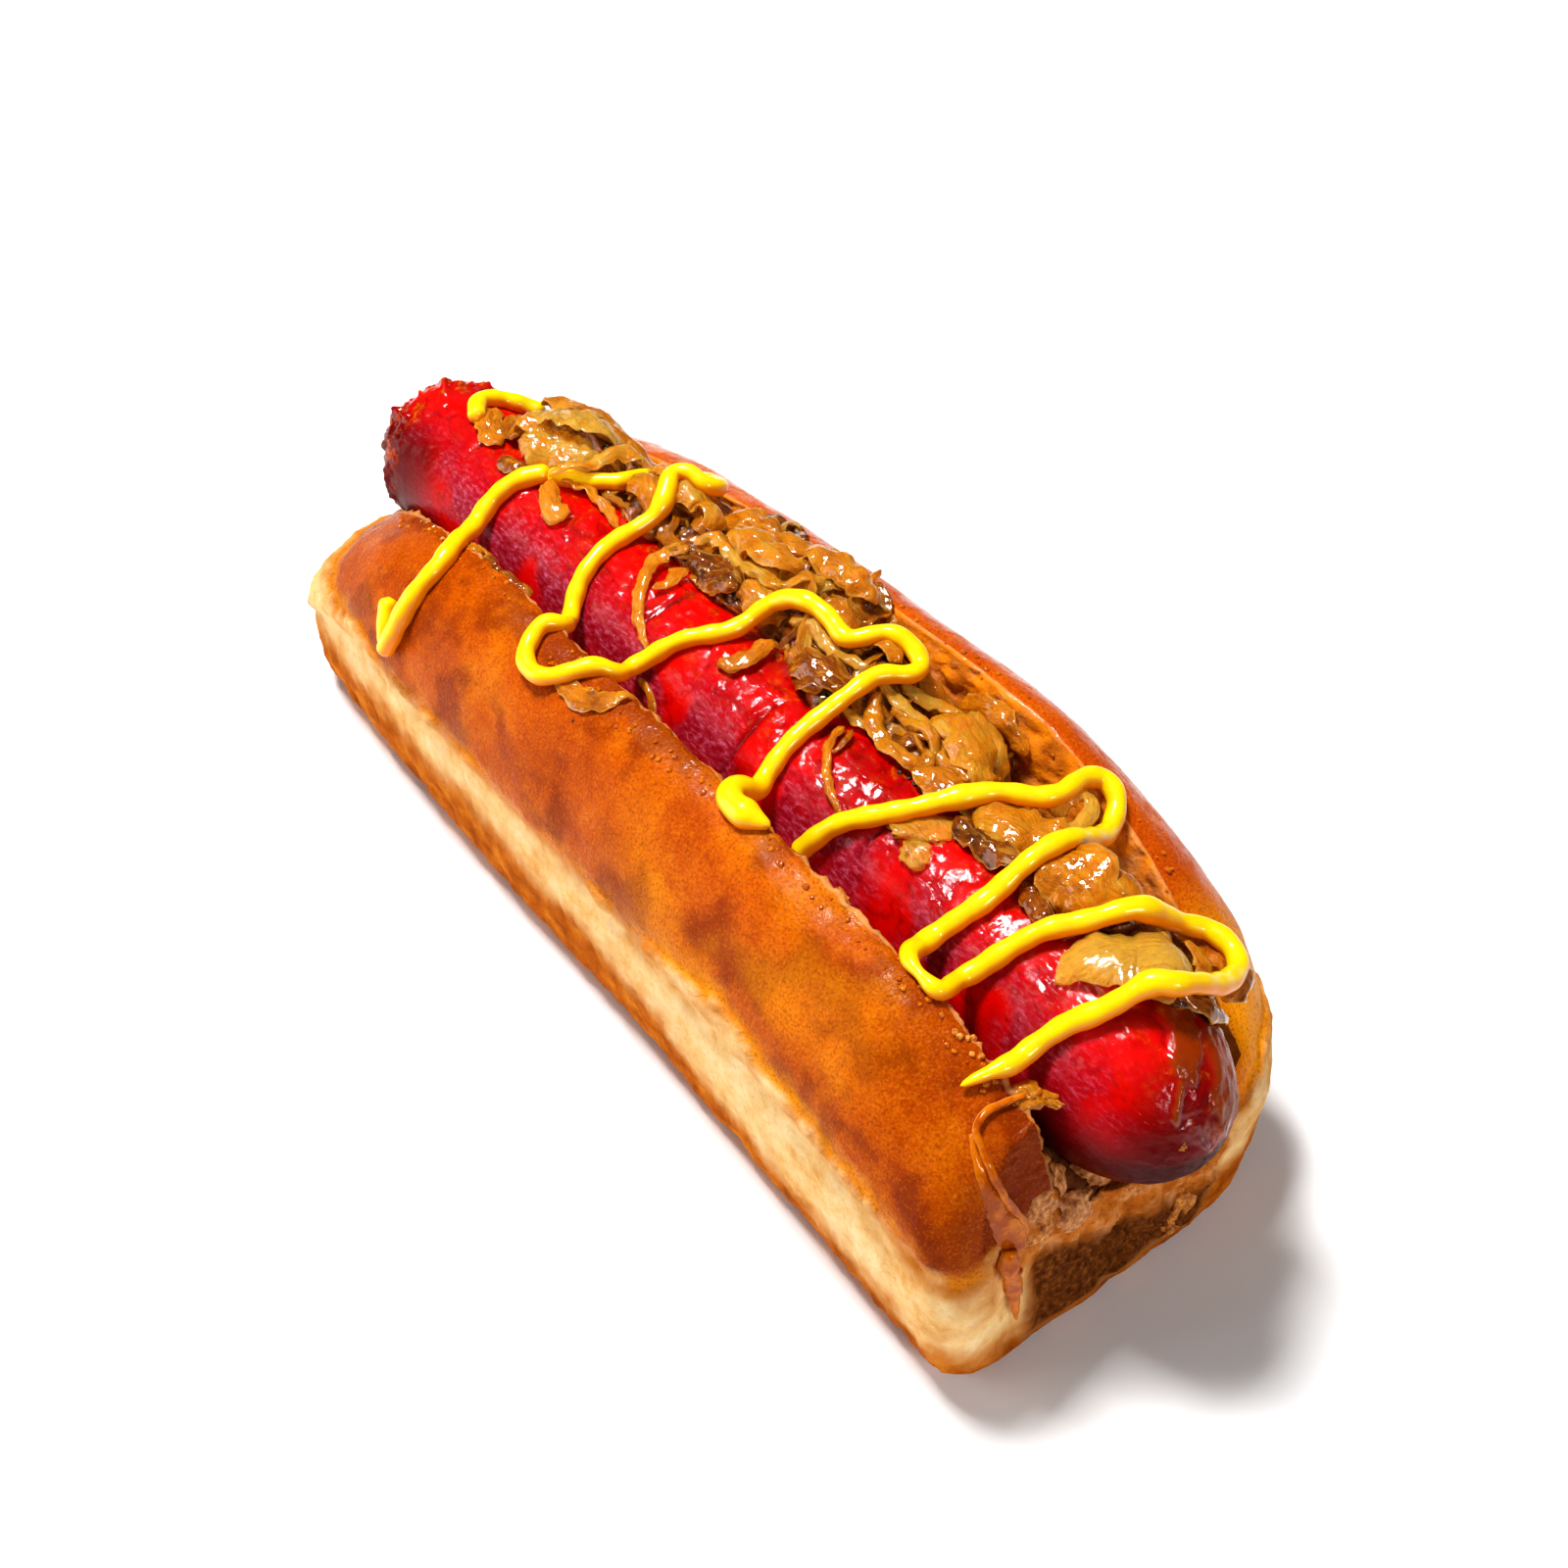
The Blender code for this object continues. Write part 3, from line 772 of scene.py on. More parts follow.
def grow(name: str, source: bpy.types.Object, tree: bpy.types.NodeTree,
         values: dict[str, float]) -> bpy.types.Object:
    """Run a geometry tree on an object and keep the result as a plain mesh.

    Args:
        name: The new piece's name.
        source: The curve or mesh that the tree reads; it is removed afterwards.
        tree: The geometry tree.
        values: Values for the tree's named inputs.

    Returns:
        The linked mesh object, with no modifier.
    """
    modifier = source.modifiers.new(tree.name, "NODES")
    modifier.node_group = tree
    for item in tree.interface.items_tree:
        if item.item_type == "SOCKET" and item.in_out == "INPUT" and item.name in values:
            modifier[item.identifier] = values[item.name]
    bpy.context.view_layer.update()
    graph = bpy.context.evaluated_depsgraph_get()
    mesh = bpy.data.meshes.new_from_object(source.evaluated_get(graph))
    mesh.name = name
    bpy.data.objects.remove(source)
    piece = bpy.data.objects.new(name, mesh)
    bpy.context.scene.collection.objects.link(piece)
    return piece


def metres(tree: bpy.types.NodeTree, size: bpy.types.NodeSocket, share: float = 1.0) -> bpy.types.Node:
    """A size in millimetres, times a share, as metres."""
    return add(tree, "ShaderNodeMath", {0: size, 1: MM * share}, operation="MULTIPLY")


def turned(tree: bpy.types.NodeTree, way: Point, full: float, none: float) -> bpy.types.Node:
    """How far a surface turns from a direction: 0 where it faces it, 1 where it is turned away.

    Args:
        tree: The geometry tree.
        way: The direction.
        full: The cosine at which the surface counts as facing it.
        none: The cosine at which it counts as turned away.

    Returns:
        The node that gives the share.
    """
    normal = add(tree, "GeometryNodeInputNormal")
    facing = add(tree, "ShaderNodeVectorMath", {0: normal, 1: tuple(Vector(way).normalized())},
                 operation="DOT_PRODUCT").outputs["Value"]
    inputs = {"Value": facing, "From Min": none, "From Max": full, "To Min": 1.0, "To Max": 0.0}
    return add(tree, "ShaderNodeMapRange", inputs, interpolation_type="SMOOTHSTEP")


def bead_tree() -> bpy.types.NodeTree:
    """A round bead along a curve, thicker or thinner by the curve's radius, with a slow unevenness."""
    sizes = {"Radius": 1.25, "Unevenness": 0.05, "Lump size": 4.0}
    tree, start = new_tree("squeezed_bead", sizes, 5)
    radius = metres(tree, start.outputs["Radius"])
    ring = add(tree, "GeometryNodeCurvePrimitiveCircle", {"Resolution": 24, "Radius": radius})
    share = add(tree, "GeometryNodeInputRadius")
    swept = add(tree, "GeometryNodeCurveToMesh", {
        "Curve": start.outputs["Geometry"], "Profile Curve": ring,
        "Scale": share, "Fill Caps": True,
    })
    place = add(tree, "GeometryNodeInputPosition")
    lump = metres(tree, start.outputs["Lump size"])
    scale = add(tree, "ShaderNodeMath", {0: 1.0, 1: lump}, operation="DIVIDE")
    lumps = add(tree, "ShaderNodeTexNoise", {"Vector": place, "W": start.outputs["Seed"], "Scale": scale,
                                             "Detail": 1.0}, noise_dimensions="4D")
    centred = add(tree, "ShaderNodeMath", {0: lumps, 1: 0.5}, operation="SUBTRACT")
    depth = metres(tree, start.outputs["Unevenness"], 4.0)
    height = add(tree, "ShaderNodeMath", {0: centred, 1: depth}, operation="MULTIPLY")
    normal = add(tree, "GeometryNodeInputNormal")
    push = add(tree, "ShaderNodeVectorMath", {0: normal, "Scale": height}, operation="SCALE")
    moved = add(tree, "GeometryNodeSetPosition", {"Geometry": swept, "Offset": push})
    # Painted shade: mark where the bead turns from the light, which the finish paints orange
    shade = turned(tree, (-0.45, -0.1, 0.88), 0.45, -0.35)
    marked = add(tree, "GeometryNodeStoreNamedAttribute", {
        "Geometry": moved, "Name": "shade", "Value": shade})
    end_tree(tree, marked, Finishes.MUSTARD)
    return tree


def guide_curve(name: str, lines: Sequence[Sequence[Sequence[float]]], radii: Sequence[Sequence[float]],
                tilts: Sequence[Sequence[float]] | None = None) -> bpy.types.Object:
    """One curve object that holds lines for a geometry tree.

    Args:
        name: The curve's name.
        lines: Points of each line, in millimetres.
        radii: The thickness share at each point.
        tilts: The turn about the line at each point, in radians.

    Returns:
        The linked curve object.
    """
    curve = bpy.data.curves.new(name, "CURVE")
    curve.dimensions = "3D"
    curve.twist_mode = "Z_UP"
    for k, line in enumerate(lines):
        spline = curve.splines.new("POLY")
        spline.points.add(len(line) - 1)
        for i, p in enumerate(line):
            spline.points[i].co = (p[0] * MM, p[1] * MM, p[2] * MM, 1.0)
            spline.points[i].radius = radii[k][i]
            if tilts is not None:
                spline.points[i].tilt = tilts[k][i]
    guide = bpy.data.objects.new(name, curve)
    bpy.context.scene.collection.objects.link(guide)
    return guide


# ---------------------------------------------------------------- roll


@dataclass
class Roll:
    """The top-split roll: a crust dome on each half, pale torn sides, a browned base and an open slot."""

    left: float = -77.0
    right: float = 76.0
    stations: int = 230
    base_round: float = 4.5
    side_rise: float = 21.0
    crust_lip: float = 0.7
    left_corner: float = 14.0
    right_near_corner: float = 5.0
    right_far_corner: float = 15.0
    end_toe: float = 2.5
    end_lean: float = 6.0
    lean_start: float = 40.0
    flare_start: float = 62.0
    side_bow: float = 0.6
    base_points: int = 9
    round_points: int = 9
    side_points: int = 16
    dome_points: int = 58
    cap_rows: int = 22
    slot_y: float = -1.5
    slot_z: float = 30.5
    slot_radius: float = 11.35

    near_half_width: Stations = ((-77, 25.0), (-60, 26.3), (-32, 27.7), (10, 27.2), (47, 27.7), (76, 28.4))
    far_half_width: Stations = ((-77, 22.0), (-50, 24.5), (0, 26.0), (40, 26.8), (76, 25.4))
    near_edge_height: Stations = (
        (-77, 12), (-70, 18), (-64, 25.5), (-58, 30.5), (-46, 36),
        (-30, 39.5), (52, 40.6), (62, 38.6), (76, 35),
    )
    far_edge_height: Stations = (
        (-77, 14), (-70, 20), (-56, 31), (-41, 36.5), (-20, 40.5),
        (5, 42.5), (25, 44), (40, 43), (60, 35), (76, 21),
    )
    near_edge_reach: Stations = ((-77, 12.0), (-58, 13.6), (-40, 15.3), (76, 15.6))
    far_edge_reach: Stations = ((-77, 12.0), (-50, 15.5), (0, 17.0), (50, 17.0), (76, 15.0))

    # Height of the line where the crust ends and of the line where the browned base ends, near side
    crust_line: Stations = ((-77, 20), (-71, 23), (-64, 24.5), (-52, 23.5), (-40, 22.5), (0, 22), (20, 22.5),
                            (38, 25), (50, 23.5), (60, 22), (68, 20.5), (76, 19))
    toast_line: Stations = ((-77, 10), (-50, 11.5), (0, 12), (20, 10.5), (32, 7), (66, 5.5), (76, 4.5))

    def corner(self, x: float, end: float, radius: float) -> float:
        """How far a side has drawn in where it turns the corner at one end."""
        t = 1.0 - abs(end - x) / radius
        if t <= 0:
            return 0.0
        return radius * (1.0 - math.sqrt(max(0.0, 1.0 - t * t)))

    def half_outline(self, width: float, edge_reach: float, edge_height: float,
                     toe: float) -> list[tuple[float, float]]:
        """Outer line of one half, from its base to its cut edge.

        Args:
            width: Distance from the middle to the outer side.
            edge_reach: Distance from the middle to the cut edge.
            edge_height: Height of the cut edge.
            toe: How far the base is lifted.

        Returns:
            Pairs of distance from the middle and height.
        """
        edge_reach = min(edge_reach, width - 3.0)
        rise = min(self.side_rise, edge_height * 0.6)
        foot = width - self.side_bow - self.base_round
        points = [(foot * i / self.base_points, toe) for i in range(1, self.base_points)]
        for i in range(self.round_points):
            angle = math.radians(90 * i / (self.round_points - 1))
            out, up = math.sin(angle), 1 - math.cos(angle)
            points.append((foot + self.base_round * out, toe + self.base_round * up))
        low = toe + self.base_round
        for i in range(1, self.side_points):
            t = i / self.side_points
            bow = self.side_bow * math.sin(math.pi * min(1.0, t * 1.1))
            points.append((width - self.side_bow + bow + 0.3 * t, low + (rise - low) * t))
        reach = width + self.crust_lip - edge_reach
        for i in range(self.dome_points):
            angle = math.radians(88 * (1 - i / (self.dome_points - 1)))
            y = edge_reach + reach * math.sin(angle)
            points.append((y, rise + 1.0 + (edge_height - rise - 1.0) * math.cos(angle)))
        return points

    def slot_line(self, x: float, near_edge: tuple[float, float], far_edge: tuple[float, float],
                  count: int) -> list[tuple[float, float]]:
        """The slot from cut edge to cut edge, as points between them.

        Args:
            x: The station.
            near_edge: Place of the near cut edge.
            far_edge: Place of the far cut edge.
            count: How many points to return.

        Returns:
            The points, without the two edges.
        """
        opening = max(0.0, (x - self.flare_start) / (self.right - self.flare_start))
        radius = self.slot_radius + 0.5 * opening**2
        depth = radius + 0.3 * opening
        ceiling = min(near_edge[1], far_edge[1]) - 0.6
        route = [near_edge]
        for i in range(40):
            angle = math.radians(-172 + 134 * i / 39)
            y = self.slot_y + radius * math.cos(angle)
            y = max(min(y, far_edge[0] - 0.5), near_edge[0] + 0.5)
            route.append((y, min(self.slot_z + depth * math.sin(angle), ceiling)))
        last = route[-1]
        wall = (last[0] * 0.55 + far_edge[0] * 0.45 + 0.6, last[1] * 0.6 + far_edge[1] * 0.4)
        route.append((wall[0], min(wall[1], ceiling)))
        route.append(far_edge)
        line = np.array(route)
        lengths = travelled(line)
        at = np.linspace(0.0, lengths[-1], count + 2)[1:-1]
        return list(zip(np.interp(at, lengths, line[:, 0]), np.interp(at, lengths, line[:, 1])))

    def section(self, x: float) -> list[tuple[float, float]]:
        """One closed section: near cut edge, round the outside, far cut edge and back by the slot."""
        toe = self.corner(x, self.left, self.end_toe) + self.corner(x, self.right, self.end_toe)
        halves = []
        for width, corner, reach, height in (
            (self.near_half_width, self.right_near_corner, self.near_edge_reach, self.near_edge_height),
            (self.far_half_width, self.right_far_corner, self.far_edge_reach, self.far_edge_height),
        ):
            drawn_in = self.corner(x, self.left, self.left_corner) + self.corner(x, self.right, corner)
            outline = self.half_outline(along(width, x) - drawn_in, along(reach, x), along(height, x), toe)
            halves.append(outline)
        near_line, far_line = halves
        outer = [(-y, z) for y, z in reversed(near_line)] + [(0.0, toe)] + far_line
        inner = self.slot_line(x, outer[0], outer[-1], len(outer) - 2)
        return outer + list(reversed(inner))

    def end_shift(self, x: float, z: float) -> float:
        """How far the right end leans back at a height."""
        if x < self.lean_start:
            return 0.0
        rise = min(1.0, max(0.0, (z - 15.0) / 25.0))
        return -self.end_lean * rise * ((x - self.lean_start) / (self.right - self.lean_start)) ** 2

    def places(self) -> list[float]:
        """Stations along X, closer together towards both ends."""
        result = []
        for i in range(self.stations):
            t = i / (self.stations - 1)
            even = self.left + (self.right - self.left) * t
            middle = 0.5 * (self.left + self.right)
            dense = middle - 0.5 * (self.right - self.left) * math.cos(math.pi * t)
            result.append(0.6 * even + 0.4 * dense)
        return result

    def build(self) -> bpy.types.Object:
        """Loft the sections, close both ends with a grid, and raise the relief.

        Returns:
            The roll as one closed mesh.
        """
        xs = self.places()
        rings = [[(x + self.end_shift(x, z), y, z) for y, z in self.section(x)] for x in xs]
        size = len(rings[0])
        outer = size // 2 + 1
        points = [p for ring in rings for p in ring]
        walls = tube_faces(len(rings), size)[:-2]
        faces = [tuple(reversed(f)) for f in walls]
        zone = [0.0] * len(points)
        for side, ring_index in ((-1, 0), (1, len(rings) - 1)):
            ring = rings[ring_index]
            start = ring_index * size
            rows = [[start + i for i in range(outer)]]
            for r in range(1, self.cap_rows):
                t = r / self.cap_rows
                row = [start]
                for i in range(1, outer - 1):
                    a, b = ring[i], ring[size - i]
                    row.append(len(points))
                    points.append(tuple(a[k] * (1 - t) + b[k] * t for k in range(3)))
                    zone.append(float(side))
                row.append(start + outer - 1)
                rows.append(row)
            rows.append([start] + [start + size - i for i in range(1, outer - 1)] + [start + outer - 1])
            for low, high in zip(rows, rows[1:]):
                for i in range(outer - 1):
                    face = []
                    for corner in (low[i], low[i + 1], high[i + 1], high[i]):
                        if corner not in face:
                            face.append(corner)
                    faces.append(tuple(face if side < 0 else reversed(face)))
        spots = np.array(points, float)
        ends = np.array(zone)
        in_slot = (np.arange(len(points)) % size >= outer) & (ends == 0)
        return self.relief(spots, faces, in_slot, ends)

    def relief(self, points: np.ndarray, faces: list[tuple[int, ...]], in_slot: np.ndarray,
               ends: np.ndarray) -> bpy.types.Object:
        """Mark the regions of the roll and raise their relief.

        Args:
            points: The smooth form's vertices.
            faces: Its faces.
            in_slot: True on the slot's walls.
            ends: -1 on the left end's cap, 1 on the right end's, 0 elsewhere.

        Returns:
            The finished mesh object.
        """
        normals = outward(points, faces)
        x, y, z = points.T
        outside = ~in_slot & (ends == 0)
        waver = grain(points, 8.0, 4, 1) * 2.4 + grain(points, 1.6, 2, 2) * 0.8
        crust_z = np.array([along(self.crust_line, v) for v in x]) + waver
        toast_z = np.array([along(self.toast_line, v) for v in x]) + grain(points, 9.0, 2, 3) * 1.5
        crust = ramp(z - crust_z, -0.35, 0.35)

        # The right end: crust folds over the near half's top, torn crumb below, a porous heel at the base
        fold_z = 25.5 + 0.35 * (y + 14.0) + grain(points, 4.0, 2, 4) * 1.4
        heel_z = 15.5 - 0.28 * (y + 16.0) + grain(points, 4.0, 2, 5) * 1.5
        on_end = (ends > 0).astype(float)
        folded = ramp(z - fold_z, -0.6, 0.6) * (y < 0)
        crumb = in_slot.astype(float)
        crumb = np.where(ends > 0, 1.0 - folded, crumb)
        heel = on_end * ramp(heel_z - z, -1.5, 1.0) * ramp(y, -19.5, -15.5)
        cream_corner = on_end * ramp(-y, 16.5, 19.0) * ramp(19.0 - z, -1.0, 1.0)
        crumb = crumb * (1.0 - cream_corner)
        far_foot = ramp(y, 6.0, 10.0) * ramp(x, 60.0, 66.0) * 5.0
        toast = ramp(toast_z + far_foot - z, -2.2, 2.0)
        crust = np.where(ends > 0, folded, crust)
        toast = np.where(ends > 0, cream_corner * toast, toast)
        crust = np.where(in_slot, 0.0, crust)
        toast = np.where(in_slot, 0.0, toast)

        lumps = grain(points, 24.0, 2, 6) * 0.55 + grain(points, 8.0, 2, 7) * 0.16
        skin = grain(points, 1.5, 2, 8) * 0.05
        fibres = grain(points, 1.0, 3, 9, (1.0, 1.0, 3.5)) * 0.16 + grain(points, 3.5, 2, 10) * 0.3
        torn = grain(points, 3.0, 4, 11) * 0.8 + grain(points, 1.0, 3, 12) * 0.45
        lip = bell(z - crust_z, 0.9, 1.0) * 0.22
        rise = crust * (lumps + skin + lip) + (1 - crust) * (lumps * 0.6 + fibres - 0.45)
        rise = np.where(in_slot, torn * 0.7 - 0.35, rise)
        rise = np.where(ends != 0, torn * (0.35 + 0.65 * crumb) - 0.3, rise)
        flat_base = (z < 0.35) & outside
        rise = np.where(flat_base, 0.0, rise)
        moved = points + normals * rise[:, None]
        moved[:, 2] = np.maximum(moved[:, 2], 0.0)

        # A ragged cut edge
        near_cut = bell(y, -15.4, 0.9) * ramp(z, 33.0, 36.0) * (ends == 0)
        ragged = grain(points, 1.5, 3, 13) * 0.5
        moved[:, 2] += near_cut * ragged * 0.8
        moved[:, 1] += near_cut * ragged * 0.6

        # Where the crust is darker, redder or more golden, and where it is wet. Painted shade darkens the
        # crust where it turns from the light and on the right end's folded wall, and the slot low down
        away = ramp(-(normals @ np.array((-0.3, -0.35, 0.89))), -0.75, -0.1)
        dark = ramp(-x, 44.0, 68.0) * 0.5 + ramp(x, 56.0, 74.0) * 0.2 + away * 0.35
        dark = dark + 0.4 * clumps(points, 8.0, 4, 14, -0.1, 0.45)
        dark = np.minimum(dark + 0.35 * on_end * folded, 0.85) * (y < 0)
        russet = ramp(y, 4.0, 12.0) * (0.5 + 0.3 * clumps(points, 6.0, 3, 16, -0.3, 0.3))
        russet = russet * ramp(-x, -66.0, -54.0)
        gold = bell(z - crust_z, 0.6, 1.8) * (0.45 + 0.1 * ramp(x, 20.0, 60.0)) * (y < 0)
        gold = gold + 0.9 * ramp(y, 12.0, 18.0) * ramp(x, 56.0, 66.0)
        warm = ramp(x, 5.0, 25.0) * ramp(-x, -64.0, -46.0) * clumps(points, 10.0, 2, 51, -0.4, 0.3)
        gold = gold + 0.3 * warm * (y < 0)
        margin = np.maximum(bell(z, crust_z, 3.4), bell(z, toast_z, 3.4))
        margin = margin * (0.55 + 0.5 * grain(points, 3.0, 3, 18)) + 0.35 * ramp(-x, 56.0, 72.0)
        margin = margin + 0.4 * ramp(x, 64.0, 74.0) * clumps(points, 4.0, 3, 19, -0.2, 0.4)
        margin = np.minimum(margin, 0.9)
        wet = bell(y, -16.6, 1.6) * ramp(z, 34.0, 38.0) * clumps(points, 2.5, 3, 17, -0.1, 0.25)
        wet = wet + ramp(y, 10.0, 15.0) * ramp(z, 28, 34)
        grease = in_slot * ramp(y, 2.0, 10.0) * (0.3 + 0.6 * clumps(points, 3.0, 2, 15, -0.3, 0.3))
        # Painted shade: the slot darkens towards its bottom
        gloom = in_slot * ramp(-z, -36.0, -28.0) * 0.8
        marks = {"crust": crust, "toast": toast, "crumb": crumb, "heel": heel, "dark": dark, "gold": gold,
                 "wet": wet, "russet": russet, "margin": margin, "grease": grease, "gloom": gloom}
        return mesh_piece("milk_bread_roll", moved, faces, held(marks))


# ---------------------------------------------------------------- sausage


@dataclass
class Sausage:
    """The sausage: a blunt left end, a long rounded right end and a wrinkled, glazed skin."""

    y: float = -1.5
    z: float = 30.5
    radius: float = 10.9
    left: float = -69.5
    right: float = 82.5
    left_length: float = 5.0
    right_length: float = 15.0
    slant: float = 2.0
    slant_start: float = -57.0
    left_rings: int = 30
    middle_rings: int = 310
    right_rings: int = 60
    around: int = 200
    crease_depth: float = 0.16

    # Cracks round the skin: place along X, and the angles between which each runs
    cracks: tuple[Point, ...] = ((13.4, -1.25, -0.1), (35.0, -0.9, -0.35), (-9.0, -0.5, 0.1))

    # Burnt spots: middle and reach
    burns: tuple[tuple[Point, float], ...] = (((79.8, -4.5, 28.5), 1.925), ((-68.5, -6.0, 36.0), 0.825))

    # Runs of glaze over the right end: course seen from above, and half width
    glaze_runs: tuple[tuple[Stations, float], ...] = (
        (((72.6, 1.6), (75.0, 0.4), (77.0, -1.8)), 1.9),
        (((76.8, -1.6), (78.4, -3.4), (79.8, -4.8)), 0.45),
        (((74.6, 4.4), (77.6, 3.2), (80.0, 2.0), (81.2, 0.4)), 1.8),
    )

    def radius_at(self, x: float) -> float:
        """Radius of the smooth form at x."""
        radius = self.radius - 0.4 * max(0.0, (-50.0 - x) / 24.0)
        radius += 0.12 * math.sin(x / 9.0) * (1.0 if abs(x) < 60 else 0.4)
        left = (x - self.left) / self.left_length
        right = (self.right - x) / self.right_length
        if left < 1:
            radius *= max(0.0, 1 - (1 - left) ** 2.6) ** 0.5
        if right < 1:
            radius *= max(0.0, 1 - (1 - right) ** 2.2) ** 0.5
        return radius

    def build(self) -> bpy.types.Object:
        """Turn the profile, then raise creases, blisters and the sauce.

        Returns:
            The sausage as one closed mesh.
        """
        inner_left = self.left + self.left_length
        inner_right = self.right - self.right_length
        xs = [self.left + 0.02 + (self.left_length - 0.02) * (i / self.left_rings) ** 1.8
              for i in range(self.left_rings)]
        xs += [inner_left + (inner_right - inner_left) * i / self.middle_rings
               for i in range(self.middle_rings)]
        xs += [self.right - 0.03 - (self.right_length - 0.03) * (1 - i / self.right_rings) ** 1.8
               for i in range(self.right_rings + 1)]
        rows = []
        for x in xs:
            radius = self.radius_at(x)
            for k in range(self.around):
                angle = 2 * math.pi * k / self.around
                up = radius * math.cos(angle)
                across = radius * math.sin(angle)
                lean = max(0.0, (self.slant_start - x) / (self.slant_start - self.left)) ** 2
                rows.append((x - self.slant * lean * up / self.radius, self.y + across, self.z + up))
        faces = [tuple(reversed(f)) for f in tube_faces(len(xs), self.around)]
        points = np.array(rows)
        normals = outward(points, faces)
        x, y, z = points.T
        angle = np.arctan2(y - self.y, z - self.z)
        top = ramp(np.cos(angle - 0.15), 0.55, 0.95)
        end_sauce = ramp(-x, 61.5, 66.0)
        tip = ramp(x, 76.0, 81.0)

        wrapped = np.stack([x, angle * self.radius, np.zeros_like(x)], axis=1)
        deep_cut = np.zeros_like(x)
        blisters = np.maximum(grain(wrapped, 1.6, 3, 20), 0.05) * 0.7
        creases = -np.abs(grain(wrapped, 5.0, 3, 21, (1.6, 1.0, 1.0)))
        creases = np.exp(creases * 22.0) * self.crease_depth
        broad = grain(points, 16.0, 2, 22) * 0.3
        clots = np.maximum(grain(points, 2.6, 4, 23), -0.1) * 1.5
        rise = broad + blisters * top * 0.5 - creases * (0.25 + 0.6 * top)
        rise = rise * (1 - end_sauce) + (clots + 0.1) * end_sauce
        rise = rise * (1 - 0.7 * tip) - tip * 0.3 * np.abs(grain(points, 2.4, 3, 24))
        for place, low, high in self.cracks:
            gap = x - place - 0.6 * grain(wrapped, 4.0, 2, 27)
            crack = bell(gap, 0.0, 0.28) * ramp(angle, low - 0.1, low + 0.1)
            crack = crack * ramp(-angle, -high - 0.1, 0.1 - high)
            rise = rise - 0.5 * crack
            deep_cut = np.maximum(deep_cut, crack)
        moved = points + normals * rise[:, None]

        # Painted sheen: a violet band in patches along the near side, where the side lamp's reflection falls
        bloom = bell(angle, -0.95, 0.42) * clumps(wrapped, 9.0, 3, 25, -0.45, 0.1)
        bloom = bloom * (1 - end_sauce) * (1 - tip) * ramp(x, -66.0, -58.0)
        bloom = bloom * (1 - 0.5 * ramp(x, 60.0, 70.0))
        # Painted shade underneath, in creases and cracks and below the right end; darker towards both ends
        deep = np.maximum.reduce([
            ramp(-np.cos(angle - 0.1), -0.15, 0.45),
            creases / self.crease_depth * 0.6,
            deep_cut,
            0.95 * ramp(-x, 46.0, 62.0) * (1 - 0.9 * top),
            0.8 * ramp(x, 72.0, 81.0),
            ramp(x, 58, 70) * ramp(-np.cos(angle), -0.75, 0.15),
        ])
        sauce = top * (0.3 + 0.6 * ramp(np.sin(angle), -0.2, 0.5)) * ramp(x, -60.0, -50.0)
        sauce = np.maximum(sauce, end_sauce * 1.4)
        char = tip * ramp(-np.cos(angle - 0.3), -0.6, 0.3) * 0.5
        for centre, reach in self.burns:
            char = np.maximum(char, bell(np.linalg.norm(points - np.array(centre), axis=1), 0.0, reach))
        amber = np.maximum.reduce([self.trail(points, route, width) for route, width in self.glaze_runs])
        moved = moved + normals * (amber * 0.5)[:, None]
        gloss = 0.12 + 0.68 * ramp(np.cos(angle - 0.15), 0.5, 0.8) * clumps(wrapped, 3.0, 3, 28, -0.5, 0.2)
        gloss = np.maximum(gloss, 0.5 * end_sauce * ramp(np.cos(angle), -0.2, 0.6))
        marks = {"bloom": bloom, "gloss": gloss, "deep": deep, "sauce": sauce, "char": char,
                 "amber": amber * 0.85}
        return mesh_piece("glazed_sausage", moved, faces, held(marks))

    def trail(self, points: np.ndarray, route: Stations, width: float) -> np.ndarray:
        """A run of glaze over the sausage's upper side.

        Args:
            points: The sausage's vertices.
            route: Its course, seen from above.
            width: Half its width in millimetres.

        Returns:
            1 inside the run, 0 outside.
        """
        line = np.array(smooth_path(route, 0.3))
        gaps = np.linalg.norm(points[:, None, :2] - line[None, :, :], axis=2).min(axis=1)
        ragged = gaps + grain(points, 1.6, 2, 26) * 0.6
        return ramp(-ragged, -width, -width * 0.55) * ramp(points[:, 2], self.z, self.z + 2.0)


# ---------------------------------------------------------------- leaves, scraps and strands


@dataclass
class Form:
    """Vertices in millimetres, faces and marks of a small part, ready to be joined."""

    points: np.ndarray
    faces: list[tuple[int, ...]]
    marks: dict[str, np.ndarray]


def joined(name: str, forms: Sequence[Form], crumple: float = 0.0, size: float = 2.5) -> bpy.types.Object:
    """Join small parts into one piece.

    Args:
        name: The piece's name.
        forms: The parts.
        crumple: How far their surface is pushed about, in millimetres.
        size: Size of the crumples.

    Returns:
        The linked object, with its faces pointing out.
    """
    faces: list[tuple[int, ...]] = []
    start = 0
    for form in forms:
        faces += [tuple(start + i for i in f) for f in form.faces]
        start += len(form.points)
    merged = np.concatenate([form.points for form in forms])
    if crumple:
        push = np.stack([grain(merged, size, 3, 30 + k) for k in range(3)], axis=1)
        merged = merged + push * crumple * np.array((0.6, 0.6, 1.0))
        folds = np.abs(grain(merged, size * 0.8, 3, 33, (1.6, 1.0, 1.0)))
        merged[:, 2] -= folds * crumple * 0.9
    marks = {key: np.concatenate([form.marks[key] for form in forms]) for key in forms[0].marks}
    piece = mesh_piece(name, merged, faces, marks)
    bm = bmesh.new()
    bm.from_mesh(piece.data)
    bmesh.ops.recalc_face_normals(bm, faces=bm.faces)
    bm.to_mesh(piece.data)
    bm.free()
    return piece


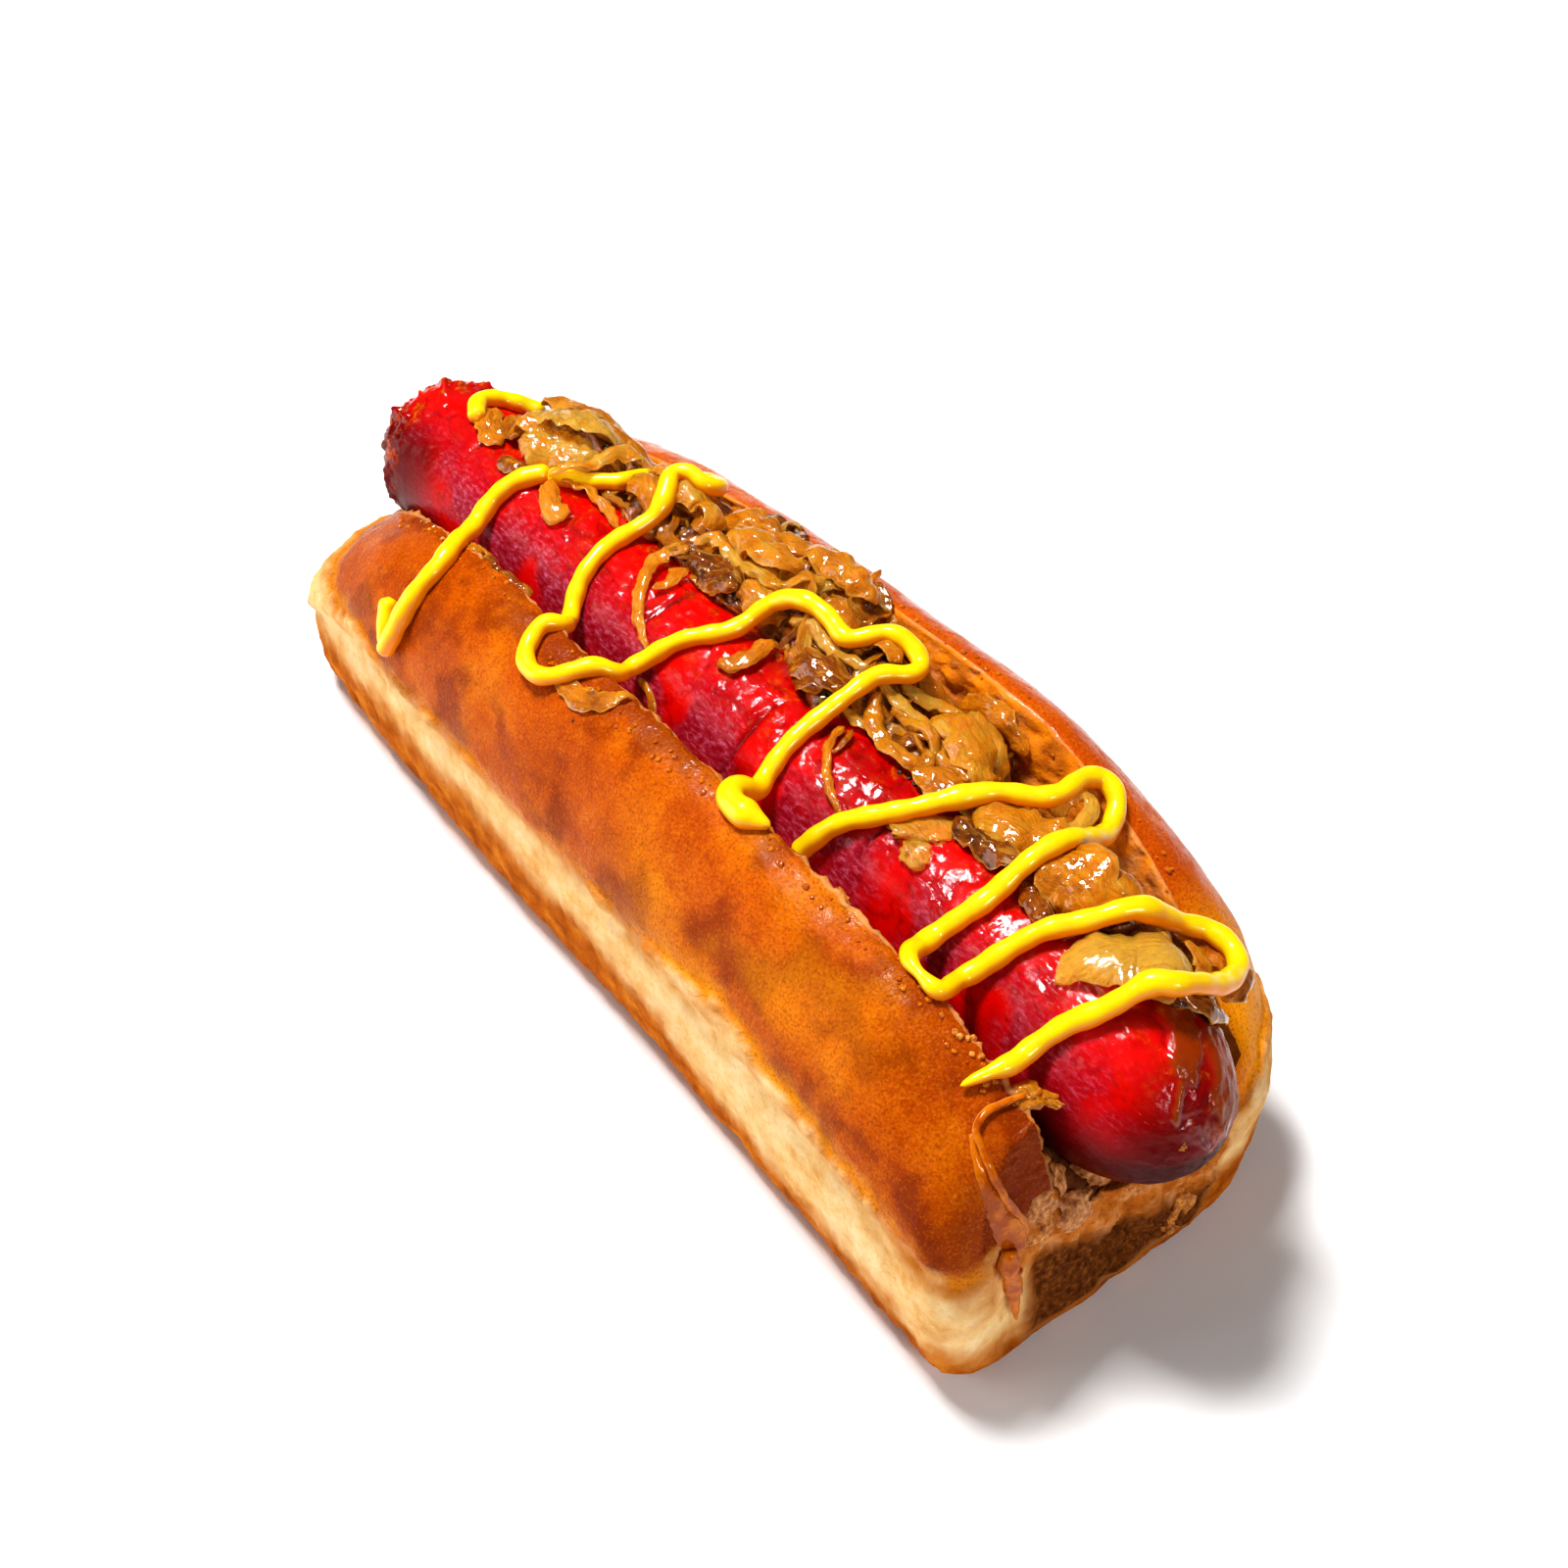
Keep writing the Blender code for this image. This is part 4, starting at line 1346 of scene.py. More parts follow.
def ribbon(line: Sequence[Sequence[float]], ups: Sequence[Vector], widths: Sequence[float],
           thickness: float, arch: float, tone: float, ruffle: float = 0.0, seed: float = 0.0) -> Form:
    """A leaf with thin edges along a line.

    Args:
        line: Its middle line, in millimetres.
        ups: The direction that its face looks in, at each point of the line.
        widths: Its width at each point of the line.
        thickness: Its thickness in the middle.
        arch: How far its middle stands above its edges, as a share of the width.
        tone: 0 for clear gold, 1 for dark brown.
        ruffle: How far its edges wave, in millimetres.
        seed: Shifts the waves.

    Returns:
        The leaf as one closed form.
    """
    around = int(min(36, max(12, 4 * round(max(widths) * 1.1 + 2))))
    points, across_mm, along_mm = [], [], []
    count = len(line)
    passed = 0.0
    for i in range(count):
        here = Vector(line[i])
        passed += (here - Vector(line[max(i - 1, 0)])).length
        ahead = (Vector(line[min(i + 1, count - 1)]) - Vector(line[max(i - 1, 0)])).normalized()
        side = ahead.cross(ups[i]).normalized()
        lift = side.cross(ahead).normalized()
        half = 0.5 * widths[i]
        wave = ruffle * math.sin(passed * 1.3 + seed) * min(1.0, half)
        other = ruffle * math.sin(passed * 1.7 + seed * 2.0 + 1.0) * min(1.0, half)
        for k in range(around):
            angle = 2 * math.pi * k / around
            across = math.cos(angle)
            spot = Vector((passed * 0.8, seed * 3.0, math.copysign(5.0, across)))
            torn = 1.0 + 0.32 * noise.noise(spot)
            edge = max(0.0, across) ** 2 * wave + max(0.0, -across) ** 2 * other
            body = math.sin(angle) * thickness * 0.5 * min(1.0, widths[i] / thickness)
            up = body + arch * widths[i] * (1 - across * across) + edge
            points.append(tuple(here + side * (across * half * torn) + lift * up))
            across_mm.append(across * half + seed * 3.0)
            along_mm.append(passed + seed * 5.0)
    marks = {"tone": np.full(len(points), tone), "across": np.array(across_mm), "along": np.array(along_mm),
             "rim": np.tile(np.abs(np.cos(np.arange(around) * 2 * math.pi / around)), count) ** 3}
    return Form(np.array(points), tube_faces(count, around), marks)


@dataclass(frozen=True)
class Leaf:
    """One onion leaf in a known place: its spine as (x, y, lift), its widths along it, and how it lies.

    The tone runs from 0, clear gold, to 1, dark brown. The arch is a share of the width, the tilt is in
    degrees, and a leaf with a held height spans what is below that height.
    """

    spine: tuple[Point, ...]
    widths: tuple[float, ...]
    tone: float = 0.3
    arch: float = 0.12
    thickness: float = 0.6
    tilt: float = 0.0
    ruffle: float = 0.3
    lift: float = 0.75
    held: float = 0.0

    def form(self, surface: Surface, rest: np.ndarray) -> Form:
        """Lay the leaf on the surface.

        Args:
            surface: What lies below.
            rest: The surface's heights for a small ball.

        Returns:
            The leaf.
        """
        flat = smooth_path(self.spine, 0.5)
        widths = self.width_along(len(flat))
        line = [(p[0], p[1], max(surface.read(rest, p[0], p[1]), self.held) + p[2] * self.lift) for p in flat]
        line = relax([np.array(p) for p in line], 5)
        ups = []
        for i, p in enumerate(line):
            ahead = Vector(line[min(i + 1, len(line) - 1)]) - Vector(line[max(i - 1, 0)])
            up = Vector((0.2, 0.35, 0.9)).normalized() if self.held else surface.lean(rest, p[0], p[1])
            side = ahead.cross(up).normalized()
            ups.append(up * math.cos(math.radians(self.tilt)) + side * math.sin(math.radians(self.tilt)))
        seed = abs(self.spine[0][0] * 0.37 + self.spine[0][1])
        return ribbon(line, ups, widths, self.thickness, self.arch, self.tone, self.ruffle, seed)

    def width_along(self, count: int) -> list[float]:
        """The width at each of some even steps, with rounded ends."""
        stations = even_stations(self.widths)
        result = []
        for i in range(count):
            t = i / (count - 1)
            end = min(1.0, min(i, count - 1 - i) * 0.5 / 1.2 + 0.02)
            result.append(max(0.08, along(stations, t) * math.sqrt(1 - (1 - end) ** 2)))
        return result


@dataclass(frozen=True)
class Scrap:
    """A lump of no regular shape: its middle, its half sizes, its turn about Z in degrees, and its skin."""

    centre: Point
    sizes: Point
    turn: float = 0.0
    rough: float = 0.35
    tone: float = 0.4
    detail: int = 4

    def form(self) -> Form:
        """Push an icosphere about and stretch it.

        Returns:
            The lump as one closed form.
        """
        bm = bmesh.new()
        bmesh.ops.create_icosphere(bm, subdivisions=self.detail, radius=1.0)
        ball = np.array([tuple(v.co) for v in bm.verts])
        faces = [tuple(v.index for v in f.verts) for f in bm.faces]
        bm.free()
        seed = self.centre[0] * 0.7 + self.centre[1] * 1.3
        push = 1.0 + self.rough * (grain(ball, 0.9, 3, seed) * 1.1 + grain(ball, 0.35, 2, seed + 1) * 0.4)
        ball = ball * push[:, None] * np.array(self.sizes)
        turn = math.radians(self.turn)
        x = ball[:, 0] * math.cos(turn) - ball[:, 1] * math.sin(turn)
        y = ball[:, 0] * math.sin(turn) + ball[:, 1] * math.cos(turn)
        points = np.stack([x, y, ball[:, 2]], axis=1) + np.array(self.centre)
        marks = {"tone": np.full(len(points), self.tone), "across": points[:, 1], "along": points[:, 0],
                 "rim": np.zeros(len(points))}
        return Form(points, faces, marks)


def lay(name: str, leaves: Sequence[Leaf], surface: Surface, ball: float, crumple: float,
        size: float) -> bpy.types.Object:
    """Lay leaves on a surface as one piece.

    Args:
        name: The piece's name.
        leaves: The leaves, lowest first.
        surface: What lies below them.
        ball: Radius of the ball that finds how high they lie.
        crumple: How far their surface is pushed about, in millimetres.
        size: Size of the crumples.

    Returns:
        The linked object.
    """
    rest = surface.over(ball)
    return joined(name, [leaf.form(surface, rest) for leaf in leaves], crumple, size)


def strand_tree() -> bpy.types.NodeTree:
    """Flat, arched and crumpled strands along curves, each with a tone of its own."""
    sizes = {"Width": 2.6, "Thickness": 0.8, "Arch": 0.2, "Crumple": 0.3, "Crumple size": 1.8}
    tree, start = new_tree("fried_strands", sizes, 3)
    strand = add(tree, "GeometryNodeInputIndex")
    tone = add(tree, "FunctionNodeRandomValue", {2: 0.05, 3: 0.72, "ID": strand,
                                                 "Seed": start.outputs["Seed"]}, data_type="FLOAT")
    toned = add(tree, "GeometryNodeStoreNamedAttribute", {
        "Geometry": start.outputs["Geometry"], "Name": "tone", "Value": tone.outputs[1]}, domain="CURVE")
    length = add(tree, "GeometryNodeSplineParameter").outputs["Length"]
    length = add(tree, "ShaderNodeMath", {0: length, 1: 1.0 / MM}, operation="MULTIPLY")
    guides = add(tree, "GeometryNodeStoreNamedAttribute", {
        "Geometry": toned, "Name": "along", "Value": length})

    ring = add(tree, "GeometryNodeCurvePrimitiveCircle", {"Resolution": 14, "Radius": 0.5 * MM})
    flat = add(tree, "ShaderNodeSeparateXYZ", {0: add(tree, "GeometryNodeInputPosition")})
    wide = add(tree, "ShaderNodeMath", {0: flat.outputs["X"], 1: start.outputs["Width"]},
               operation="MULTIPLY")
    tall = add(tree, "ShaderNodeMath", {0: flat.outputs["Y"], 1: start.outputs["Thickness"]},
               operation="MULTIPLY")
    square = add(tree, "ShaderNodeMath", {0: wide, 1: wide}, operation="MULTIPLY")
    arch = start.outputs["Arch"]
    bend = add(tree, "ShaderNodeMath", {0: arch, 1: 1.0 / MM}, operation="MULTIPLY")
    sag = add(tree, "ShaderNodeMath", {0: square, 1: bend}, operation="MULTIPLY")
    arched = add(tree, "ShaderNodeMath", {0: tall, 1: sag}, operation="SUBTRACT")
    shape = add(tree, "ShaderNodeCombineXYZ", {"X": wide, "Y": arched})
    placed = add(tree, "GeometryNodeSetPosition", {"Geometry": ring, "Position": shape})
    width_mm = add(tree, "ShaderNodeMath", {0: wide, 1: 1.0 / MM}, operation="MULTIPLY")
    profile = add(tree, "GeometryNodeStoreNamedAttribute", {
        "Geometry": placed, "Name": "across", "Value": width_mm})

    share = add(tree, "GeometryNodeInputRadius")
    swept = add(tree, "GeometryNodeCurveToMesh", {
        "Curve": guides, "Profile Curve": profile,
        "Scale": share, "Fill Caps": True,
    })
    place = add(tree, "GeometryNodeInputPosition")
    fold = metres(tree, start.outputs["Crumple size"])
    scale = add(tree, "ShaderNodeMath", {0: 1.0, 1: fold}, operation="DIVIDE")
    folds = add(tree, "ShaderNodeTexNoise", {"Vector": place, "Scale": scale, "Detail": 2.0})
    centred = add(tree, "ShaderNodeVectorMath", {0: folds.outputs["Color"], 1: (0.5, 0.5, 0.5)},
                  operation="SUBTRACT")
    depth = metres(tree, start.outputs["Crumple"], 4.0)
    push = add(tree, "ShaderNodeVectorMath", {0: centred, "Scale": depth}, operation="SCALE")
    moved = add(tree, "GeometryNodeSetPosition", {"Geometry": swept, "Offset": push})
    end_tree(tree, moved, Finishes.ONION)
    return tree


# ---------------------------------------------------------------- onions


@dataclass
class Onions:
    """Fried onions: a crumpled core, short strands over it and the leaves that stand out."""

    left: float = -54.0
    right: float = 73.0
    stations: int = 420
    rows: int = 56
    sink: float = 1.3
    floor: float = 33.0
    depth: float = 0.8
    strands: int = 130
    seed: int = 7

    # Height of the heap's middle, and its near and far outline, along X
    crown: Stations = (
        (-54, 4.5), (-48, 7.0), (-41, 5.5), (-32, 2.2), (-22, 1.8),
        (-12, 2.8), (10, 2.6), (30, 2.6), (50, 3.2), (73, 2.5),
    )
    near: Stations = (
        (-54, 2), (-50, 0.5), (-40, 1.5), (-34, 3), (-28, 3.5), (-15, 2.5), (0, 4),
        (12, 1.5), (24, 3), (34, 5), (44, 1), (58, 3), (73, 3),
    )
    far: Stations = (
        (-54, 9), (-48, 12.5), (-36, 14), (-20, 15), (-5, 16.5), (5, 17), (11, 15),
        (20, 14), (30, 13.4), (40, 12), (52, 12.5), (62, 12), (73, 8),
    )

    # The big pale fold at the left end and what hangs from it
    left_leaves: tuple[Leaf, ...] = (
        Leaf(((-48, 1.6, 0.2), (-45.5, 4.4, 0.9), (-42, 7, 1.1), (-38.4, 8.4, 0.7), (-35.5, 9.2, 0.2)),
            (3.5, 7.4, 7.8, 6, 1.5), -0.08, 0.14, 0.6, -20, 0.4),
        Leaf(((-46, -0.6, 0.3), (-42.5, 1, 0.8), (-39, 3.2, 0.9), (-36, 5.6, 0.4)), (4, 6.6, 5.8, 2), 0.06,
            0.16, 0.6, -12, 0.4),
        Leaf(((-49, 0.4, 0.2), (-47, 1.8, 0.6), (-44.8, 3, 1)), (3, 5, 3.5), 0.25, 0.15, 0.6, -20, 0.4),
        Leaf(((-51, 5.5, 0.8), (-47.5, 8, 1.4), (-43.5, 10.5, 1.4), (-40, 12, 0.8)), (4, 7, 6.5, 2.5), 0.35,
            0.2, 0.7, 12, 0.6),
        Leaf(((-56.6, 1.6, 0.1), (-54.8, -0.6, 0.2), (-51.6, -2.2, 0.2), (-48.6, -2.6, 0.2)),
            (1.6, 3.6, 3.8, 1.6), 0.4, 0.05, 0.5, 0, 0.2),
        Leaf(((-53.6, 1.6, 0.3), (-50.5, 0.2, 0.5), (-47, -0.4, 0.7)), (2, 3.4, 2), 0.62, 0.1),
        Leaf(((-46, -4.6, 0.3), (-44, -4, 0.4), (-41.4, -2.8, 0.4)), (1.6, 2.8, 1.2), 0.62, 0.12, 0.6, 0,
            0.4),
        Leaf(((-37.6, -1.6, 0.6), (-36, -3.1, 0.4), (-33.2, -4.4, 0.4), (-30, -4.8, 0.3)),
            (1.2, 2.6, 3.3, 2.6), 0.18, 0.18, 0.8, 0, 0.2),
        Leaf(((-37, -0.8, 0.8), (-33.2, 1.6, 0.6), (-32, 0.9, 0.4), (-29, 1.2, 0.4), (-26.6, 0.6, 0.3),
            (-24.2, -0.4, 0.3)), (1.2, 2, 1.6, 1.6, 1.4, 0.8), 0.22, 0.1, 0.8, 0, 0.2),
        Leaf(((-30.8, 6.2, 1), (-28, 6.4, 1.4), (-25, 5.4, 1.2), (-22.8, 4, 0.6)), (2.6, 4.2, 4, 1.8), 0.3,
            0.28, 0.8, 10, 0.4),
        Leaf(((-37, 9.6, 0.2), (-36.9, 9.8, 1.2), (-37.1, 10.2, 2.2)), (1.3, 1, 0.7), 0.2, 0.1, 0.7, 0,
            0.1),
        Leaf(((-37.4, -2, 1.2), (-36.2, -0.4, 2.6), (-35, 2.2, 3), (-34.8, 5.2, 3), (-34.4, 8.6, 3),
            (-31.8, 10.2, 3.2), (-28, 9.4, 3), (-25.4, 8.2, 1.6)), (0.8, 1.8, 2.2, 2.6, 2.8, 2.6, 2, 1),
            0.14, 0.16, 0.7, -14, 0.2, 1),
        Leaf(((-41, 9.5, 0.8), (-36.5, 12.5, 0.8), (-30, 14.5, 0.8), (-24.5, 15, 0.5)), (3, 4.6, 4, 2), 0.4,
            0.2, 0.7, 10, 0.5),
    )

    # The heap between the far turns of the mustard
    middle_leaves: tuple[Leaf, ...] = (
        Leaf(((-25.5, 8.6, 1), (-21.5, 9.4, 1.8), (-17.5, 9, 1.8), (-14.5, 7.6, 1)), (2.6, 4.8, 5, 3), 0.12,
            0.24, 0.7, -10, 0.5),
        Leaf(((-24, 12, 0.8), (-18, 12.6, 1.4), (-12, 12.8, 1.2), (-7, 12.4, 0.6)), (3, 5, 4.6, 2), 0.38,
            0.2, 0.7, 8, 0.6),
        Leaf(((-14.5, 4.6, 0.8), (-13.4, 6.8, 1.6), (-10.8, 7, 1.8), (-7, 6, 1.6), (-3.4, 6.2, 1.4),
            (0, 7.4, 1.4), (2.6, 9.6, 1.2), (2.2, 12.6, 0.6)), (1.2, 2, 2.2, 2, 1.8, 1.8, 1.6, 0.8), 0.1,
            0.14, 0.7, -12),
        Leaf(((-13.2, 2.6, 0.5), (-10.5, 3.8, 1.2), (-7, 4.2, 1.2), (-3.8, 3.6, 0.6)), (2.2, 4.6, 4.8, 2.4),
            0.78, 0.22, 0.7, 10, 0.7),
        Leaf(((-9.6, 1.8, 0.4), (-6.8, 2.6, 0.8), (-3.6, 3.2, 0.7)), (1.4, 2.6, 1.4), 0.68, 0.2, 0.7, 14,
            0.5),
        Leaf(((-4.6, 4.4, 0.8), (-1.8, 4.6, 1.3), (1, 4.8, 1.2), (3.4, 5.6, 0.6)), (2, 4.2, 3.8, 1.6), 0.2,
            0.22, 0.7, 6, 0.5),
        Leaf(((-13, 9.6, 1), (-8.5, 9.4, 1.6), (-4, 9.2, 1.6), (0, 10.4, 0.9)), (2.6, 5, 4.6, 2.2), 0.22,
            0.24, 0.7, -12, 0.6),
        Leaf(((-8, 13.4, 0.8), (-2, 13.6, 1.3), (4, 14, 1.2), (9, 14.6, 0.6)), (2.4, 4.4, 4.6, 2), 0.34,
            0.2, 0.7, 8, 0.5),
        Leaf(((-14, 3.4, 0.7), (-16.4, 2.4, 0.5), (-16.2, 0, 0.4), (-14.4, -2.8, 0.4), (-11.8, -5.8, 0.4),
            (-8.8, -7.6, 0.4), (-5.4, -8.8, 0.3)), (1.6, 2.6, 2, 1.7, 1.6, 1.4, 0.8), 0.16, 0.1, 0.6, 0,
            0.15),
        Leaf(((-11.8, -3.6, 0.3), (-11.6, -1, 0.4), (-13.4, 1.6, 0.5)), (1, 1.8, 3), 0.2, 0.1, 0.5, 0,
            0.15),
        Leaf(((3.2, -4.8, 0.3), (5.6, -3.6, 0.5), (5.4, -0.6, 0.6), (4.6, 2.4, 0.8)), (1.4, 2.8, 2.6, 1.4),
            0.36, 0.15, 0.6, 0, 0.2),
        Leaf(((4.5, 5, 0.9), (8.4, 6, 1.4), (12, 5.6, 1.5), (15, 5.8, 1.4), (17.6, 6.6, 0.8)),
            (1.2, 1.9, 2, 1.8, 1.2), 0.02, 0.14, 0.8, 0, 0.2),
        Leaf(((9.6, 1, 0.4), (12.6, 1.8, 1), (15.6, 2.2, 1), (18.4, 3.2, 0.6)), (1.8, 4.8, 4.6, 2), 0.62,
            0.2, 0.7, 12, 0.8),
        Leaf(((11.6, -0.2, 0.3), (14, 0.2, 0.6), (16.8, 0.2, 0.4)), (0.8, 2.4, 1), 0.7, 0.15, 0.6, 10, 0.5),
        Leaf(((6, 8.8, 0.8), (10, 10, 1.3), (15, 10.4, 1.2), (19, 10, 0.6)), (2.4, 4.2, 4, 2), 0.45, 0.2,
            0.7, -8, 0.6),
    )

    # The long strands, the looped ones and the flat ribbed pieces
    right_leaves: tuple[Leaf, ...] = (
        Leaf(((19.4, 6.4, 0.9), (22.6, 7.2, 1.5), (26, 7.4, 1.8), (31, 7.6, 1.8), (35.4, 7.6, 1.6),
            (39.4, 7.8, 1.2), (42.6, 8.6, 0.7)), (1.4, 1.8, 1.8, 2.2, 2.2, 2, 1.4), 0, 0.12, 0.8, -8, 0.2),
        Leaf(((20.4, 6, 0.8), (21.6, 3.8, 0.9), (24, 2.6, 0.8), (27.4, 1.8, 0.8), (30.6, 2.4, 0.9),
            (31.6, 4, 1.1), (30, 4.6, 1.4)), (1.6, 2.2, 2.6, 2.6, 2.6, 2.4, 1.6), 0.3, 0.16, 0.9),
        Leaf(((22.4, 6, 1.3), (25.4, 6.4, 1.7), (29.2, 6, 1.7), (31.4, 4.8, 1.2)), (1.4, 1.7, 1.6, 1), 0.2,
            0.12, 0.8, 0, 0.2),
        Leaf(((19.2, 1.4, 0.5), (21.4, 1.6, 0.6), (23.6, 2.4, 0.6)), (0.9, 1.5, 1), 0.12, 0.1, 0.6, 0, 0.2),
        Leaf(((20.6, 8.6, 1), (24, 11.2, 1.7), (27.6, 12.2, 1.9), (31.6, 12.5, 1.9), (34.4, 12, 1.7),
            (36.2, 10.4, 1.4), (36, 8.8, 0.9)), (1.6, 2.4, 2.2, 2.4, 2.4, 2.2, 1.4), 0.06, 0.16, 0.9),
        Leaf(((26.6, 8.2, 0.8), (30.5, 9, 1.3), (35, 7.6, 1.4), (38.8, 6.2, 1)), (2.4, 5, 5.4, 2.6), 0.2,
            0.2, 0.7, 6, 0.5),
        Leaf(((30.6, 5.6, 0.7), (33.6, 5.6, 1.1), (37, 5.4, 0.8)), (2, 3.4, 2), 0.3, 0.2, 0.7, 8, 0.4),
        Leaf(((31.6, 1.6, 0.5), (34.4, 2.6, 1.2), (37.8, 3, 0.8)), (2.4, 4.8, 3), 0.42, 0.26, 0.8, 10, 0.6),
        Leaf(((24, 14.4, 0.8), (30, 15, 1), (36, 14.6, 0.8)), (2, 3.6, 1.8), 0.42, 0.2, 0.7, 6, 0.5),
        Leaf(((40.6, 2.4, 0.7), (44, 4, 1.6), (47.6, 5.2, 1.7), (51, 5.8, 1)), (3.6, 7, 7.4, 5.4), 0.2, 0.1,
            0.7, 16),
        Leaf(((40, 0.6, 0.4), (43.6, 0.2, 0.7), (47.6, 0.4, 0.7), (50.6, 0.8, 0.4)), (2, 3.4, 3.2, 1.6),
            0.8, 0.12, 0.6, 14, 0.4),
        Leaf(((43.6, 9.4, 0.8), (46.4, 10.4, 1), (49.6, 9.6, 0.8)), (2.4, 4.4, 2.4), 0.45, 0.2, 0.7, -8,
            0.5),
        Leaf(((51.2, 2.6, 1), (54.5, 3.6, 1.8), (58, 3.4, 1.8), (60.8, 3.2, 1)), (6, 7.6, 7.6, 5.4), 0.42,
            0.08, 0.7, 14),
        Leaf(((51.8, -0.6, 0.4), (54.6, -1, 0.8), (57.6, -1.8, 0.4)), (1.6, 2.6, 1.2), 0.74, 0.1, 0.6, 12,
            0.4),
        Leaf(((53.4, 7.6, 1.2), (57, 7.6, 1.8), (60.4, 7, 1.6), (62.4, 6, 0.8)), (3, 4.6, 4.8, 2.6), 0.3,
            0.2, 0.8, -10, 0.4),
        Leaf(((52.6, 11, 0.8), (57, 11.4, 1.2), (61, 10.4, 0.6)), (2.2, 3.8, 1.8), 0.46, 0.2, 0.7, 6, 0.5),
        Leaf(((45.9, 9.6, 1.6), (45, 12.2, 2.4), (46.2, 14, 2.6), (47.8, 13.2, 2.6), (49, 10.8, 2.4),
            (49.2, 8.4, 1.8), (48.2, 7.4, 1.4)), (2.2, 2.2, 2, 1.8, 2, 2, 1.2), -0.1, 0.14, 1, 0, 0.2, 0.75,
            40.5),
        Leaf(((21.2, 0, 0.5), (22, -2.6, 0.4), (24.4, -5.2, 0.4), (27.6, -6.8, 0.3), (31, -8, 0.3)),
            (1, 1.3, 1.2, 1.1, 0.6), 0.35, 0.1, 0.6, 0, 0.1),
        Leaf(((22.2, 0.4, 0.4), (23.2, -1.6, 0.3), (23.6, -3.6, 0.2)), (0.6, 0.8, 0.5), 0.5, 0.1, 0.5, 0,
            0.1),
        Leaf(((4.8, 16.6, 0.6), (4.2, 18.4, 1), (3.9, 19.4, 2)), (1.4, 1.1, 0.6), 0.4, 0.1, 0.7, 0, 0.1),
        Leaf(((62, 9.6, 0.4), (65.2, 11.6, 0.4), (68.4, 12.6, 0.4), (71.2, 12, 0.2), (72.8, 9, 0.2)),
            (3, 5.4, 6, 5.4, 3), 0.5, 0.12, 0.8, 0, 0.4, 0.75, 37.2),
        Leaf(((66.5, 8.4, 0.5), (70, 8, 0.6), (72.4, 6, 0.4)), (2.6, 4.2, 2.6), 0.4, 0.2, 0.7, 0, 0.4),
        Leaf(((71.8, 2, 0.2), (74.2, 4.4, 0.2), (74.2, 7.6, 0.2)), (1.4, 2.6, 1.6), 0.6, 0.2, 0.7, 0, 0.4),
    )

    # Orange bits and lumps that sit on the sausage and in the near groove
    scraps: tuple[Scrap, ...] = (
        Scrap((38.4, -2.6, 41), (3.4, 2.4, 1), 40, 0.5, -0.02),
        Scrap((40.2, -5, 40.7), (1.8, 1.8, 0.9), 0, 0.5, -0.02),
        Scrap((-36.2, -14.6, 37.6), (2.4, 1, 1), 10, 0.5, 0.45),
        Scrap((-31.4, -15, 38.6), (2.2, 1, 0.9), -10, 0.5, 0.6),
        Scrap((-26, -14.6, 38.6), (2.6, 1.1, 0.9), 5, 0.5, 0.55),
        Scrap((68.8, -14, 35.4), (2.3, 1.2, 0.8), 50, 0.5, 0.3),
        Scrap((70.4, -12.4, 34.8), (1, 0.5, 0.5), 30, 0.5, 0.3),
        Scrap((80.8, -4.6, 33), (0.8, 0.7, 0.5), 0, 0.4, 0.45),
        Scrap((37.4, -13.2, 36.6), (1.2, 0.7, 0.6), 0, 0.5, 0.2),
    )

    def core(self, base: Surface) -> bpy.types.Object:
        """The heap's body, a little under its outline, crumpled all over.

        Args:
            base: The roll and the sausage.

        Returns:
            The core as one closed mesh.
        """
        floor = base.over(0.6)
        rings = []
        for i in range(self.stations):
            t = i / (self.stations - 1)
            x = self.left + (self.right - self.left) * t
            wander = 1.3 * math.sin(x / 3.1) + 0.9 * math.sin(x / 1.7 + 1.0)
            near = along(self.near, x) + wander * 0.7
            far = along(self.far, x) + 0.8 * math.sin(x / 2.3)
            fade = min(1.0, 0.35 + 3.5 * min(t, 1 - t) * 2)
            crown = along(self.crown, x) * fade * (1 + 0.22 * math.sin(x / 4.3 + 0.6))
            under, upper = [], []
            for j in range(self.rows + 1):
                y = near + (far - near) * j / self.rows
                under.append((x, y, max(base.read(floor, x, y), self.floor)))
            ends = (under[0][2], under[-1][2])
            for j in range(self.rows + 1):
                s = j / self.rows
                ripple = 0.5 * math.sin(x / 2.9 + 5 * s) * math.sin(math.pi * s)
                z = ends[0] * (1 - s) + ends[1] * s + 0.9 + crown * 4 * s * (1 - s) + ripple - self.sink
                upper.append((x, under[j][1], max(z, under[j][2] + 0.3)))
            low = [(p[0], p[1], p[2] - self.depth) for p in under]
            rings.append(upper + list(reversed(low)))
        points = np.array([p for ring in rings for p in ring])
        faces = tube_faces(len(rings), len(rings[0]))
        normals = outward(points, faces)
        bent = points + np.stack([grain(points, 5.0, 2, 44), grain(points, 5.0, 2, 45),
                                  np.zeros(len(points))], axis=1) * 2.0
        folds = 1.0 - np.abs(grain(bent, 4.2, 2, 40, (1.8, 1.0, 1.0))) * 2.2
        wrinkles = 1.0 - np.abs(grain(bent, 1.7, 2, 41, (2.2, 1.0, 1.0))) * 2.2
        rise = folds * 1.0 + wrinkles * 0.4 - 0.75
        moved = points + normals * rise[:, None]
        # Painted shade in the valleys of folds and wrinkles and painted light on fold ridges, over a random
        # tone
        tone = 0.34 - 0.3 * ramp(folds, 0.2, 0.95) + 0.5 * ramp(-wrinkles, -0.6, 0.4)
        tone = tone + 0.25 * ramp(-folds, -0.5, 0.3) + 0.28 * grain(points, 9.0, 2, 43)
        marks = {"tone": np.clip(tone + 0.06, 0, 1), "across": bent[:, 1], "along": bent[:, 0]}
        return mesh_piece("onion_core", moved, faces, marks)

